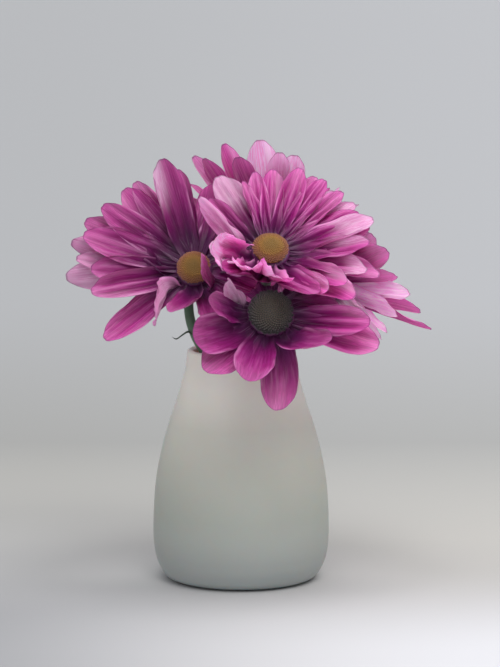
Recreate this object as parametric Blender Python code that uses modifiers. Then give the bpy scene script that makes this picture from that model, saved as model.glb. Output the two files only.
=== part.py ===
"""Five pink daisy blooms on their own stems, standing in a small frosted bottle vase with water.

Lengths are in millimetres until a mesh is made, where MM turns them into metres.
The origin is the centre of the vase's foot, +Z is up and -Y is the side that faces the viewer.
"""

import math
import random

import bmesh
import bpy
from mathutils import Matrix, Vector
from mathutils.bvhtree import BVHTree

MM = 0.001
GAP = 0.3  # left between two pieces that touch
MERGE = 0.01  # points nearer to each other than this become one

# The vase: outer radius and height, from the lip down to the foot
VASE_HEIGHT = 88.0
WALL = 2.6
FLOOR_Z = 5.0
FLOOR_CORNER = ((28.6, 8.0), (25.6, FLOOR_Z))  # where the inner wall rounds into the floor
LIP = ((18.3, 87.5), (19.2, VASE_HEIGHT), (20.1, 87.6))
OUTER_WALL = (
    (20.5, 86.6), (21.2, 81.0), (22.6, 75.5), (24.8, 68.0), (28.0, 58.3), (30.8, 47.5),
    (32.8, 35.5), (33.6, 20.5), (33.3, 12.5), (32.2, 7.0), (30.2, 2.8),
)
FOOT = ((28.6, 0.9), (26.6, 0.0))
VASE_SEGMENTS = 28

# The water and the stems that stand in it
WATER_LEVEL = 58.0
STEM_RADIUS = 1.9
STEM_HOLE_PLAY = 0.4
STEM_PULL = 0.45  # how far, as a share of its reach, a stem keeps its direction at each end of its bend
STEM_BEND_STEPS = 8
NECK_FLARE = (1.05, 1.15, 1.3)  # how a stem thickens under its head

# One head, measured in its own frame: +h runs along its axis and 0 is the top of the receptacle
RECEPTACLE_DEPTH = 4.3
DISC_DOME = 0.62  # the disc's height as a share of its radius
DISC_SECTORS = 20
DISC_RINGS = 6
FLORET_RELIEF = 0.34
CUP_TOP = -4.6
CUP_PROFILE = ((7.7, -4.6), (7.9, -5.4), (6.8, -7.4), (4.6, -9.2), (2.6, -10.4))
CUP_SEGMENTS = 10
RECEPTACLE_SEGMENTS = 16
BRACTS = 8
BRACT_BASE = 1.9
BRACT_TIP = 0.35
BRACT_LENGTH = 6.4
BRACT_FLATNESS = 0.42
BRACT_LEAN = -50.0
BRACT_SEAT = (5.0, -8.0)  # a bract's root: its distance from the head's axis, and its height
HEAD_CLEARANCE = 11.5

# The ray florets: two rows of petals round each head
ROOT_INSET = 0.8  # how far inside the disc's edge a petal starts
RECEPTACLE_RIM = 0.6  # how far the receptacle reaches past the disc's edge
BEND_LENGTH = 6.0  # a petal runs out level past the disc's edge, then turns to its rise over this length
TWIST_END = 0.4  # the share of its length by which a petal has turned about itself
TIP_START = 0.6  # the share of its length past which a petal's tip curls
CLAW = 0.5  # a petal's width at its root, as a share of its widest
WIDEST = 0.58  # the share of its length at which a petal is widest
TIP_POWER = 2.1  # the larger, the blunter a petal's tip
TIP_ROUND = 0.58
PETAL_STEPS = 14  # steps in which a petal's middle line is followed
ROWS = {
    "front": {"count": 12, "turn": 0.0, "root": -1.4, "rise": 9.0, "length": 36.0, "width": 11.5},
    "rear": {"count": 12, "turn": 0.5, "root": -2.9, "rise": -4.0, "length": 36.5, "width": 12.0},
}
SPREADS = {
    "clock": (-0.12, 0.12), "rise": (-3, 3), "length": (0.93, 1.04), "width": (0.9, 1.08), "bend": (-16, 4),
    "twist": (-16, 16), "curl": (-22, 14), "cup": (0.25, 0.6), "sweep": (-0.05, 0.05),
}
PLACED_CUP = 0.45
NEAR = 0.62  # a petal of a row is left out this share of a step from a placed one
BLADE_THICKNESS = 1.1
BLADE_STATIONS = (0.0, 0.22, 0.47, 0.72, 0.91, 1.0)
PROBE_STATIONS = tuple(i / 9 for i in range(10))
PROBE_ACROSS = (-1.0, -0.5, 0.0, 0.5, 1.0)
ROOT_STATIONS = 3  # so many stations next to the disc may touch other pieces
PETAL_CLEARANCE = 1.7
CROSSING_COST = 3  # degrees of lean that a petal takes rather than cross another of its head
LEANS = (0, 5, -5, 10, -10, 16, -16, 22, -22, 30, -30, 38, -38, 46, -46, 55, -55, -66)
SHRINKS = (1.0, 0.85, 0.7, 0.55, 0.4)
SETTLE_ORDER = ("top", "left", "low", "back", "right")

# Each head: its place, the way it faces, and the rise of its petals at clock angles.
# Clock angles are read facing the head: 0 is up, 90 is at three o'clock.
# Between its bare angles a head has only the petals that are placed one by one.
HEADS = {
    "left": {
        "centre": (-17.7, -8.0, 119.6),
        "axis": (-0.08, -0.90, 0.43),
        "disc": 6.3,
        "mouth": (-14.4, -2.0),
        "foot": (9.0, -9.0),
        "bow": (-4.6, 0.0, 0.0),
        "crowd": ((0, 6), (60, -14), (90, -12), (130, 30), (180, 40), (225, 8), (270, 2), (315, 4)),
        "bare": (118, 228),
        "seed": 3,
    },
    "top": {
        "centre": (11.0, -20.0, 127.8),
        "axis": (0.06, -0.72, 0.69),
        "disc": 6.7,
        "mouth": (3.0, -3.4),
        "foot": (-10.0, 19.0),
        "bow": (0.0, 0.0, 0.0),
        "crowd": ((0, -6), (50, -4), (90, 2), (130, 16), (180, 30), (230, 46), (270, 40), (315, 6)),
        "bare": (150, 430),
        "seed": 5,
    },
    "low": {
        "centre": (11.0, -38.0, 106.6),
        "axis": (0.05, -0.93, 0.36),
        "disc": 8.2,
        "mouth": (8.6, -10.6),
        "foot": (13.0, 13.0),
        "bow": (0.0, 0.0, 0.0),
        "crowd": ((0, -30), (45, -30), (90, 6), (150, 20), (200, 16), (250, 20), (295, 30), (330, -24)),
        "bare": (120, 300),
        "seed": 7,
    },
    "right": {
        "centre": (32.4, 9.0, 115.0),
        "axis": (0.72, 0.35, 0.60),
        "disc": 7.0,
        "mouth": (13.4, 1.5),
        "foot": (-2.0, 11.0),
        "bow": (0.0, 0.0, 0.0),
        "crowd": ((0, 30), (90, 10), (180, 10), (250, 10), (290, 30)),
        "bare": (180, 300),
        "seed": 11,
    },
    "back": {
        "centre": (13.1, 28.0, 130.0),
        "axis": (0.02, 0.50, 0.86),
        "disc": 7.0,
        "mouth": (-12.0, 9.5),
        "foot": (-11.0, -16.0),
        "bow": (-8.0, 0.0, 0.0),
        "crowd": ((0, 40), (90, 40), (180, 20), (240, 40), (300, 46)),
        "bare": (280, 430),
        "seed": 13,
    },
}

# Petals placed one by one: head, row, clock angle, rise, length, width, bend, twist
PLACED = (
    ("top", "front", 5, 4, 33, 9.5, 0, 0),
    ("top", "front", 354, 4, 32, 7.5, 0, -20),
    ("top", "front", 346, 6, 28, 7.0, 0, 30),
    ("top", "front", 20, 6, 35, 9.5, 0, 10),
    ("top", "front", 34, 3, 35, 9.5, 0, 0),
    ("top", "front", 47, 5, 34, 9.5, 0, -10),
    ("top", "front", 64, 4, 33, 10.5, 0, 0),
    ("top", "front", 80, 14, 33, 11.0, 0, 0),
    ("top", "front", 97, 24, 33, 11.0, 0, -10),
    ("top", "front", 116, 20, 34, 12.0, 0, -15),
    ("top", "front", 134, 28, 33, 11.0, 0, 0),
    ("top", "front", 150, 34, 35, 9.5, 0, 20),
    ("top", "front", 170, 32, 35, 13.5, 0, 0),
    ("top", "front", 192, 50, 30, 12.0, 0, -10),
    ("top", "front", 214, 54, 28, 12.5, 0, 10),
    ("top", "front", 244, 52, 33, 15.0, 0, -50),
    ("top", "front", 282, 55, 36, 6.5, 0, 150),
    ("top", "front", 304, 36, 26, 8.5, 0, 0),
    ("top", "rear", 336, -2, 37, 13.0, 0, 0),
    ("top", "rear", 28, 2, 36, 9.5, 0, 0),
    ("top", "rear", 41, -1, 35, 9.5, 0, 0),
    ("top", "rear", 56, 4, 35, 9.5, 0, 0),
    ("top", "rear", 194, 44, 18, 11.0, 0, 0),
    ("top", "rear", 226, 44, 26, 11.0, 0, 0),
    ("top", "rear", 250, 46, 26, 11.0, 0, 0),
    ("left", "front", 342, 22, 39, 13.0, 0, -14),
    ("left", "front", 318, 4, 37, 12.5, 0, 0),
    ("left", "front", 285, 12, 39, 13.0, 0, 8),
    ("left", "front", 267, 11, 34, 11.0, 0, -8),
    ("left", "front", 251, 20, 36, 11.5, 0, 6),
    ("left", "front", 229, 2, 38, 12.0, 0, 10),
    ("left", "front", 232, 50, 29, 11.0, 0, 130),
    ("left", "front", 176, 60, 34, 10.5, 0, 0),
    ("left", "front", 150, 50, 35, 12.0, 0, 0),
    ("left", "front", 130, 97, 33, 8.0, 0, 40),
    ("left", "front", 10, 4, 30, 11.0, 0, 0),
    ("left", "rear", 325, 6, 37, 10.0, 0, 0),
    ("left", "rear", 22, 0, 28, 11.0, 0, 0),
    ("left", "rear", 303, 14, 38, 12.0, 0, 0),
    ("left", "rear", 293, 8, 41, 12.0, 0, 0),
    ("left", "rear", 281, 8, 43, 11.0, 0, 150),
    ("left", "rear", 273, 16, 40, 9.0, 0, 0),
    ("left", "rear", 266, 16, 44, 13.0, -26, 150),
    ("low", "front", 170, 18, 32, 15.0, 0, 0),
    ("low", "front", 199, 47, 33, 15.0, 0, 0),
    ("low", "front", 225, 36, 34, 15.0, 0, 0),
    ("low", "front", 244, 46, 34, 15.5, 0, -10),
    ("low", "front", 109, 10, 35, 14.0, 0, 0),
    ("low", "front", 100, 27, 32, 12.0, 0, 0),
    ("low", "front", 150, 64, 32, 13.0, 0, 0),
    ("low", "front", 268, 64, 31, 11.0, 0, 10),
    ("low", "front", 290, 76, 31, 6.5, 0, 150),
    ("low", "rear", 104, -2, 33, 13.0, 0, 0),
    ("back", "front", 9, 46, 38, 14.0, 0, 0),
    ("back", "front", 346, 22, 34, 12.5, 0, 0),
    ("back", "front", 43, 57, 38, 11.5, 0, 0),
    ("back", "front", 64, 46, 40, 11.5, 0, 10),
    ("back", "front", 238, 56, 37, 11.0, 0, 0),
    ("back", "front", 195, 70, 36, 11.0, 0, 0),
    ("back", "front", 270, 62, 26, 11.0, 0, 0),
    ("back", "rear", 53, 45, 38, 10.5, 0, 0),
    ("back", "rear", 244, 40, 37, 11.0, 0, 0),
    ("back", "rear", 21, 28, 37, 11.0, 0, 0),
    ("back", "rear", 356, 34, 36, 11.0, 0, 0),
    ("right", "front", 206, 29, 41, 8.5, 0, 0),
    ("right", "front", 235, 24, 37, 11.0, 0, 0),
    ("right", "front", 254, 21, 37, 12.0, 0, 0),
    ("right", "front", 267, 20, 36, 11.0, 0, 20),
    ("right", "front", 280, 27, 36, 11.0, 0, 0),
    ("right", "front", 291, 18, 32, 11.5, 0, 0),
    ("right", "front", 331, 60, 28, 11.0, 0, 0),
    ("right", "front", 358, 60, 26, 11.0, 0, 0),
    ("right", "front", 184, 18, 29, 11.0, 0, 0),
    ("right", "rear", 197, 8, 26, 12.0, 0, 0),
    ("right", "rear", 297, 30, 31, 11.0, 0, 0),
    ("right", "rear", 344, 56, 27, 11.0, 0, 0),
    ("right", "rear", 248, 9, 35, 13.0, 0, 0),
    ("right", "rear", 238, -8, 33, 13.0, 0, 0),
    ("right", "rear", 270, -12, 35, 13.5, 0, 0),
)

# What else is special about some of these petals: a sideways bend, a deeper trough, a curled or a blunt tip
SHAPED = {
    ("top", "front", 150): {"tip": 3.0},
    ("top", "front", 170): {"sweep": 0.22},
    ("top", "front", 192): {"sweep": 0.3, "cup": 0.7},
    ("top", "front", 244): {"cup": 0.65, "curl": 50.0, "tip": 2.8, "root": -2.5},
    ("top", "front", 282): {"cup": 0.8},
    ("left", "front", 130): {"root": -2.4},
    ("left", "front", 232): {"cup": 0.7, "sweep": 0.5, "root": -2.9},
    ("left", "front", 176): {"cup": 0.7, "sweep": -0.2},
    ("left", "front", 150): {"sweep": -0.12},
    ("low", "front", 150): {"sweep": 0.25, "tip": 3.2},
    ("low", "front", 244): {"tip": 5.0},
    ("low", "front", 170): {"tip": 2.6, "sweep": -0.15},
    ("low", "front", 290): {"root": -2.9},
}

# A small curled leaf on one stem: steps from the stem's axis, and its half-width at each
LEAFLET_STEM = "left"
LEAFLET = (
    ((0.0, 0.0, 0.0), 1.0), ((-1.7, -0.3, 2.0), 1.3), ((-3.2, -0.6, 3.0), 1.7),
    ((-5.3, -1.1, 1.8), 1.6), ((-7.6, -1.6, 0.2), 1.1), ((-9.3, -2.0, 0.9), 0.0),
)
LEAFLET_THICKNESS = 0.9

COLOURS = {
    "vase": (0.55, 0.56, 0.53),
    "water": (0.80, 0.86, 0.86),
    "petal": (0.34, 0.05, 0.21),
    "disc": (0.28, 0.19, 0.03),
    "stem": (0.09, 0.14, 0.07),
}


def clear_scene():
    for obj in list(bpy.data.objects):
        bpy.data.objects.remove(obj, do_unlink=True)


def make_collection(name):
    collection = bpy.data.collections.new(name)
    bpy.context.scene.collection.children.link(collection)
    return collection


def make_material(name, roughness, metallic=0.0, alpha=1.0):
    material = bpy.data.materials.new(name)
    material.use_nodes = True
    shader = material.node_tree.nodes["Principled BSDF"]
    shader.inputs["Base Color"].default_value = (*COLOURS[name], 1.0)
    shader.inputs["Roughness"].default_value = roughness
    shader.inputs["Metallic"].default_value = metallic
    shader.inputs["Alpha"].default_value = alpha
    material.diffuse_color = (*COLOURS[name], alpha)
    return material


def object_from_bmesh(name, shape, collection):
    mesh = bpy.data.meshes.new(name)
    shape.to_mesh(mesh)
    shape.free()
    obj = bpy.data.objects.new(name, mesh)
    collection.objects.link(obj)
    return obj


def finish(obj, material, angle=40.0):
    """Give the object its material and shade its rounded faces smooth."""
    obj.data.materials.clear()
    obj.data.materials.append(material)
    obj.data.shade_smooth()
    obj.data.set_sharp_from_angle(angle=math.radians(angle))
    return obj


def applied(obj, collection, merge=True):
    """Replace the object by a plain mesh of its shape, with its modifiers and its place applied."""
    bpy.context.view_layer.update()
    evaluated = obj.evaluated_get(bpy.context.evaluated_depsgraph_get())
    mesh = bpy.data.meshes.new_from_object(evaluated)
    mesh.transform(obj.matrix_world)
    name = obj.name
    bpy.data.objects.remove(obj, do_unlink=True)
    shape = bmesh.new()
    shape.from_mesh(mesh)
    if merge:
        bmesh.ops.remove_doubles(shape, verts=shape.verts, dist=MERGE * MM)
    bpy.data.meshes.remove(mesh)
    made = object_from_bmesh(name, shape, collection)
    made.name = name
    return made


def combine(body, others, operation, collection):
    """Join the other objects to the body, or cut them from it, with one Boolean, then remove them."""
    group = bpy.data.collections.new(body.name + "_set")
    bpy.context.scene.collection.children.link(group)
    for other in others:
        group.objects.link(other)
    modifier = body.modifiers.new(operation.lower(), "BOOLEAN")
    modifier.operation = operation
    modifier.operand_type = "COLLECTION"
    modifier.collection = group
    modifier.solver = "MANIFOLD"
    made = applied(body, collection, merge=False)
    for other in others:
        bpy.data.objects.remove(other, do_unlink=True)
    bpy.data.collections.remove(group)
    return made


def fill_hollows(obj):
    """Fill hollows that are sealed inside the object by removing their skins, all but its largest surface."""
    shape = bmesh.new()
    shape.from_mesh(obj.data)
    left = set(shape.verts)
    skins = []
    while left:
        front = [left.pop()]
        skin = list(front)
        while front:
            vertex = front.pop()
            fresh = [e.other_vert(vertex) for e in vertex.link_edges if e.other_vert(vertex) in left]
            left.difference_update(fresh)
            front += fresh
            skin += fresh
        skins.append(skin)
    skins.sort(key=len)
    for skin in skins[:-1]:
        bmesh.ops.delete(shape, geom=skin, context="VERTS")
    shape.to_mesh(obj.data)
    shape.free()
    return obj


def turned(name, profile, segments, collection, matrix=None):
    """A solid of revolution about +Z from (radius, height) pairs that run down its outer side."""
    shape = bmesh.new()
    points = [shape.verts.new((radius * MM, 0.0, height * MM)) for radius, height in profile]
    for first, second in zip(points, points[1:]):
        shape.edges.new((first, second))
    obj = object_from_bmesh(name, shape, collection)
    screw = obj.modifiers.new("turn", "SCREW")
    screw.steps = screw.render_steps = segments
    screw.use_merge_vertices = True
    screw.merge_threshold = MERGE * MM
    if matrix is not None:
        obj.matrix_world = matrix
    return obj


def inner_wall():
    """The vase's inner surface, a wall's thickness inside the outer one, from the floor up."""
    upper = [(radius - WALL, height) for radius, height in OUTER_WALL if height > FLOOR_CORNER[0][1] + WALL]
    return list(reversed(upper + list(FLOOR_CORNER)))


def make_vase(collection):
    profile = [(0.0, FLOOR_Z)] + inner_wall() + list(LIP + OUTER_WALL + FOOT) + [(0.0, 0.0)]
    return applied(turned("vase", profile, VASE_SEGMENTS, collection), collection)


def make_water(collection):
    """Water up to its level, a gap inside the glass."""
    inner = inner_wall()
    below = [(radius - GAP, height + GAP) for radius, height in inner if height < WATER_LEVEL - GAP]
    (low_radius, low), (high_radius, high) = [
        (a, b) for a, b in zip(inner, inner[1:]) if a[1] <= WATER_LEVEL < b[1]
    ][0]
    share = (WATER_LEVEL - low) / (high - low)
    edge = low_radius + (high_radius - low_radius) * share - GAP
    profile = [(0.0, FLOOR_Z + GAP)] + below + [(edge, WATER_LEVEL), (0.0, WATER_LEVEL)]
    return applied(turned("water", list(reversed(profile)), VASE_SEGMENTS, collection), collection)


def head_axes(head):
    """The head's right, up and facing directions. Right is at three o'clock as seen facing it."""
    facing = Vector(head["axis"]).normalized()
    up = (Vector((0, 0, 1)) - facing * facing.z).normalized()
    return up.cross(facing), up, facing


def head_matrix(head):
    """Places a shape made about +Z, with its twelve o'clock at +Y, on the head."""
    right, up, facing = head_axes(head)
    matrix = Matrix((right, up, facing)).transposed().to_4x4()
    matrix.translation = Vector(head["centre"]) * MM
    return matrix


def outline(s, tip):
    """Half-width of a petal, as a share of its widest, from its narrow claw at 0 to its tip at 1."""
    if s < WIDEST:
        return CLAW + (1.0 - CLAW) * math.sin(math.pi / 2 * s / WIDEST)
    return max(0.0, 1.0 - ((s - WIDEST) / (1.0 - WIDEST)) ** tip) ** TIP_ROUND


def petal_point(petal, s, t, lift=0.0):
    """A point of a petal in its head's frame: s runs along it, t across it, and lift is off its surface."""
    length = petal["length"]
    step = s * length / PETAL_STEPS
    radius, height, angle = petal["start"], petal["root"], 0.0
    for i in range(PETAL_STEPS):
        middle = s * (i + 0.5) / PETAL_STEPS
        turn = max(0.0, min(1.0, (middle * length - ROOT_INSET) / BEND_LENGTH))
        tip = max(0.0, (middle - TIP_START) / (1.0 - TIP_START))
        angle = petal["rise"] * turn + petal["bend"] * middle + petal["curl"] * tip * tip
        radius += math.cos(math.radians(angle)) * step
        height += math.sin(math.radians(angle)) * step
    turned_by = min(1.0, s / TWIST_END)
    rolled = math.radians(petal["twist"]) * turned_by * turned_by * (3.0 - 2.0 * turned_by)
    slope = math.radians(angle)
    inward = Vector((-math.sin(slope), 0.0, math.cos(slope)))
    side = Vector((0.0, math.cos(rolled), 0.0)) + inward * math.sin(rolled)
    normal = inward * math.cos(rolled) - Vector((0.0, math.sin(rolled), 0.0))
    half = petal["width"] / 2 * outline(s, petal["tip"])
    trough = petal["cup"] * (1.0 - 0.6 * s) * half * t * t
    sway = petal["sweep"] * length * s * s
    centre = Vector((radius, sway, height))
    return centre + side * (half * t) + normal * (trough + lift)


def petal_place(head, petal):
    """Turns a petal of the head's frame to its clock angle. The result is in millimetres."""
    right, up, facing = head_axes(head)
    clock = math.radians(petal["clock"])
    outward = up * math.cos(clock) + right * math.sin(clock)
    matrix = Matrix((outward, facing.cross(outward), facing)).transposed().to_4x4()
    matrix.translation = Vector(head["centre"])
    return matrix


def crowd_rise(head, clock):
    """How far the petals at this clock angle are pushed up, between the head's given angles."""
    marks = sorted(head["crowd"])
    marks = [(marks[-1][0] - 360, marks[-1][1])] + marks + [(marks[0][0] + 360, marks[0][1])]
    clock %= 360
    for (low, first), (high, second) in zip(marks, marks[1:]):
        if low <= clock <= high:
            share = (clock - low) / (high - low)
            return first + (second - first) * (0.5 - 0.5 * math.cos(math.pi * share))
    return 0.0


def wanted_petals(name, head):
    """The petals of a head before they are bent clear: the ones placed by hand, then the rest of each row."""
    draw = random.Random(head["seed"])
    petals = []
    for bloom, row, clock, rise, length, width, bend, twist in PLACED:
        if bloom == name:
            petal = {
                "row": row, "clock": clock, "rise": rise, "length": length, "width": width, "bend": bend,
                "twist": twist, "curl": 0.0, "cup": PLACED_CUP, "sweep": 0.0, "tip": TIP_POWER,
                "root": ROWS[row]["root"], "start": head["disc"] - ROOT_INSET,
            }
            petals.append(petal | SHAPED.get((bloom, row, clock), {}))
    placed = list(petals)
    for row, rule in ROWS.items():
        step = 360 / rule["count"]
        for i in range(rule["count"]):
            drawn = {key: draw.uniform(low, high) for key, (low, high) in SPREADS.items()}
            clock = step * (i + rule["turn"] + drawn["clock"])
            petal = dict(
                drawn, row=row, clock=clock, root=rule["root"], start=head["disc"] - ROOT_INSET, tip=TIP_POWER,
                rise=rule["rise"] + crowd_rise(head, clock) + drawn["rise"],
                length=rule["length"] * drawn["length"],
                width=rule["width"] * drawn["width"],
            )
            near = [
                p for p in placed
                if p["row"] == row and abs((p["clock"] - clock + 180) % 360 - 180) < step * NEAR
            ]
            bare = (clock - head["bare"][0]) % 360 < head["bare"][1] - head["bare"][0]
            if not near and not bare:
                petals.append(petal)
    return petals


def stem_line(head):
    """Points up a stem: straight from its foot to the mouth, then one smooth bend to the back of its head."""
    mouth = Vector((*head["mouth"], VASE_HEIGHT))
    slope = math.dist(head["foot"], head["mouth"]) / (VASE_HEIGHT - FLOOR_Z)
    foot = Vector((*head["foot"], FLOOR_Z + GAP + STEM_RADIUS * slope))
    facing = Vector(head["axis"]).normalized()
    neck = Vector(head["centre"]) + facing * CUP_PROFILE[-1][1]
    along = (mouth - foot).normalized()
    reach = (neck - mouth).length
    second = mouth + along * reach * STEM_PULL + Vector(head["bow"])
    third = neck - facing * reach * STEM_PULL + Vector(head["bow"])
    line = [foot, foot.lerp(mouth, 0.5), mouth]
    for i in range(1, STEM_BEND_STEPS + 1):
        u = i / STEM_BEND_STEPS
        v = 1 - u
        line.append(mouth * v ** 3 + second * 3 * u * v * v + third * 3 * u * u * v + neck * u ** 3)
    return line


def vase_radius(height):
    """The outer radius of the vase at a height, or 0 above it."""
    levels = [(OUTER_WALL[0][0], VASE_HEIGHT)] + list(OUTER_WALL + FOOT)
    for (upper_radius, upper), (lower_radius, lower) in zip(levels, levels[1:]):
        if lower <= height <= upper:
            share = (height - lower) / (upper - lower)
            return lower_radius + (upper_radius - lower_radius) * share
    return 0.0


def distance_to_line(point, line):
    """The least distance from a point to a run of straight pieces."""
    best = math.inf
    for first, second in zip(line, line[1:]):
        run = second - first
        share = max(0.0, min(1.0, (point - first).dot(run) / run.length_squared))
        best = min(best, (first + run * share - point).length)
    return best


def probe(head, petal):
    """A coarse net of points over a petal, in millimetres, and its faces."""
    place = petal_place(head, petal)
    points = [place @ petal_point(petal, s, t) for s in PROBE_STATIONS for t in PROBE_ACROSS]
    wide = len(PROBE_ACROSS)
    faces = [
        (i * wide + j, i * wide + j + 1, (i + 1) * wide + j + 1, (i + 1) * wide + j)
        for i in range(len(PROBE_STATIONS) - 1)
        for j in range(wide - 1)
    ]
    return points, BVHTree.FromPolygons(points, faces)


def meets_fixed(name, points):
    """Whether a petal's points come too near another head, a stem or the vase."""
    for other, head in HEADS.items():
        line = stem_line(head)
        if other == name:
            line = line[:-2]
        elif any((p - Vector(head["centre"])).length < HEAD_CLEARANCE for p in points):
            return True
        if any(distance_to_line(p, line) < STEM_RADIUS + PETAL_CLEARANCE for p in points):
            return True
    return any(
        p.z < VASE_HEIGHT + PETAL_CLEARANCE
        and math.hypot(p.x, p.y) < vase_radius(min(p.z, VASE_HEIGHT)) + PETAL_CLEARANCE
        for p in points
    )


def meets_petals(points, tree, others):
    """Whether a petal crosses or nearly touches a petal of another head."""
    for other_points, other_tree in others:
        if tree.overlap(other_tree):
            return True
        if any(other_tree.find_nearest(p, PETAL_CLEARANCE)[0] is not None for p in points):
            return True
        if any(tree.find_nearest(p, PETAL_CLEARANCE)[0] is not None for p in other_points):
            return True
    return False


def settle_petals():
    """Bend every petal clear of the other heads with the least change to its rise, as crowded petals do."""
    wanted = {name: wanted_petals(name, head) for name, head in HEADS.items()}
    settled = {name: [] for name in HEADS}
    nets = {name: [] for name in HEADS}
    placed = {name: sum(row[0] == name for row in PLACED) for name in HEADS}
    order = [(name, i) for name in SETTLE_ORDER for i in range(placed[name])]
    order += sorted(
        ((name, i) for name in HEADS for i in range(placed[name], len(wanted[name]))),
        key=lambda item: item[1] - placed[item[0]],
    )
    for name, i in order:
        petal = wanted[name][i]
        others = [net for other in HEADS if other != name for net in nets[other]]
        for shrink in SHRINKS:
            choices = []
            for lean in LEANS:
                tried = dict(petal, rise=petal["rise"] + lean, length=petal["length"] * shrink)
                points, tree = probe(HEADS[name], tried)
                outer = points[ROOT_STATIONS * len(PROBE_ACROSS):]
                if meets_fixed(name, outer) or meets_petals(points, tree, others):
                    continue
                crossed = sum(bool(tree.overlap(own)) for _, own in nets[name])
                choices.append((abs(lean) + CROSSING_COST * crossed, len(choices), tried, points, tree))
                if not crossed:
                    break
            if choices:
                _, _, tried, points, tree = min(choices)
                settled[name].append(tried)
                nets[name].append((points, tree))
                break
    return settled


def make_blade(name, stations, point_at, collection):
    """A blade that is thick along its middle and thin at its edges. Its two ends are points.

    point_at gives the place of a station, across from -1 to 1, on the upper or the under side.
    """
    shape = bmesh.new()
    bmesh.ops.create_grid(shape, x_segments=len(stations) - 1, y_segments=2, size=0.5)
    bmesh.ops.triangulate(shape, faces=shape.faces, quad_method="FIXED")
    upper = shape.verts[:] + shape.edges[:] + shape.faces[:]
    copied = bmesh.ops.duplicate(shape, geom=upper)
    under = {v for v in copied["geom"] if isinstance(v, bmesh.types.BMVert)}
    bmesh.ops.reverse_faces(shape, faces=[f for f in copied["geom"] if isinstance(f, bmesh.types.BMFace)])
    for vertex in shape.verts:
        index = round((vertex.co.x + 0.5) * (len(stations) - 1))
        ends = index in (0, len(stations) - 1)
        across = 0 if ends else round(vertex.co.y * 2)
        vertex.co = point_at(stations[index], across, vertex in under and across == 0 and not ends) * MM
    bmesh.ops.remove_doubles(shape, verts=shape.verts, dist=MERGE * MM)
    bmesh.ops.recalc_face_normals(shape, faces=shape.faces)
    return object_from_bmesh(name, shape, collection)


def make_petal(name, head, petal, collection):
    place = petal_place(head, petal)

    def point_at(s, across, below):
        return place @ petal_point(petal, s, across, -BLADE_THICKNESS if below else 0.0)

    return make_blade(name, BLADE_STATIONS, point_at, collection)


def make_leaflet(name, line, collection):
    """The small leaf, held edge on to the viewer, with its root in the stem just above the vase."""
    base = line[3]

    def point_at(station, across, below):
        step, half = station
        drop = LEAFLET_THICKNESS if below else 0.0
        return base + Vector(step) + Vector((0.0, half * across, -drop))

    return make_blade(name, LEAFLET, point_at, collection)


def make_rays(name, head, petals, collection):
    """A head's receptacle with all its petals, fused into one body."""
    radius = head["disc"] + RECEPTACLE_RIM
    profile = [(0.0, 0.0), (radius, 0.0), (radius, -RECEPTACLE_DEPTH), (0.0, -RECEPTACLE_DEPTH)]
    shape = turned("rays_" + name, profile, RECEPTACLE_SEGMENTS, collection, head_matrix(head))
    body = applied(shape, collection)
    blades = [make_petal(f"{name}_petal_{i}", head, petal, collection) for i, petal in enumerate(petals)]
    return fill_hollows(combine(body, blades, "UNION", collection))


def make_disc(name, head, collection):
    """The domed centre: florets as small knobs in staggered rings over a flat base."""
    shape = bmesh.new()
    bmesh.ops.create_uvsphere(shape, u_segments=DISC_SECTORS, v_segments=2 * DISC_RINGS, radius=1.0)
    bmesh.ops.bisect_plane(
        shape, geom=shape.verts[:] + shape.edges[:] + shape.faces[:], dist=1e-4,
        plane_co=(0, 0, 0), plane_no=(0, 0, 1), clear_inner=True,
    )
    hollows = set()
    for vertex in shape.verts:
        co = vertex.co
        ring = round(math.asin(max(-1.0, min(1.0, co.z))) / (math.pi / 2) * DISC_RINGS)
        sector = round(math.atan2(co.y, co.x) / (2 * math.pi) * DISC_SECTORS)
        raised = 0.0
        if 0 < ring < DISC_RINGS:
            raised = FLORET_RELIEF if (ring + sector) % 2 else -FLORET_RELIEF
        if raised < 0.0:
            hollows.add(vertex)
        radius = head["disc"] + raised
        dome = head["disc"] * DISC_DOME + raised
        vertex.co = Vector((co.x * radius, co.y * radius, co.z * dome + GAP)) * MM
    for face in shape.faces[:]:
        low = [v for v in face.verts if v in hollows]
        if len(face.verts) == 4 and len(low) == 2:
            bmesh.utils.face_split(face, low[0], low[1])
    rim = [e for e in shape.edges if e.is_boundary]
    bmesh.ops.contextual_create(shape, geom=rim)
    bmesh.ops.triangulate(shape, faces=shape.faces)
    bmesh.ops.recalc_face_normals(shape, faces=shape.faces)
    obj = object_from_bmesh("disc_" + name, shape, collection)
    obj.matrix_world = head_matrix(head)
    return obj


def make_tube(name, line, radii, collection):
    """A round rod along a line of points, made a closed mesh."""
    curve = bpy.data.curves.new(name, "CURVE")
    curve.dimensions = "3D"
    curve.bevel_depth = MM
    curve.bevel_resolution = 2
    curve.use_fill_caps = True
    spline = curve.splines.new("POLY")
    spline.points.add(len(line) - 1)
    for point, place, radius in zip(spline.points, line, radii):
        point.co = (*(place * MM), 1.0)
        point.radius = radius
    obj = bpy.data.objects.new(name, curve)
    collection.objects.link(obj)
    return applied(obj, collection)


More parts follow.
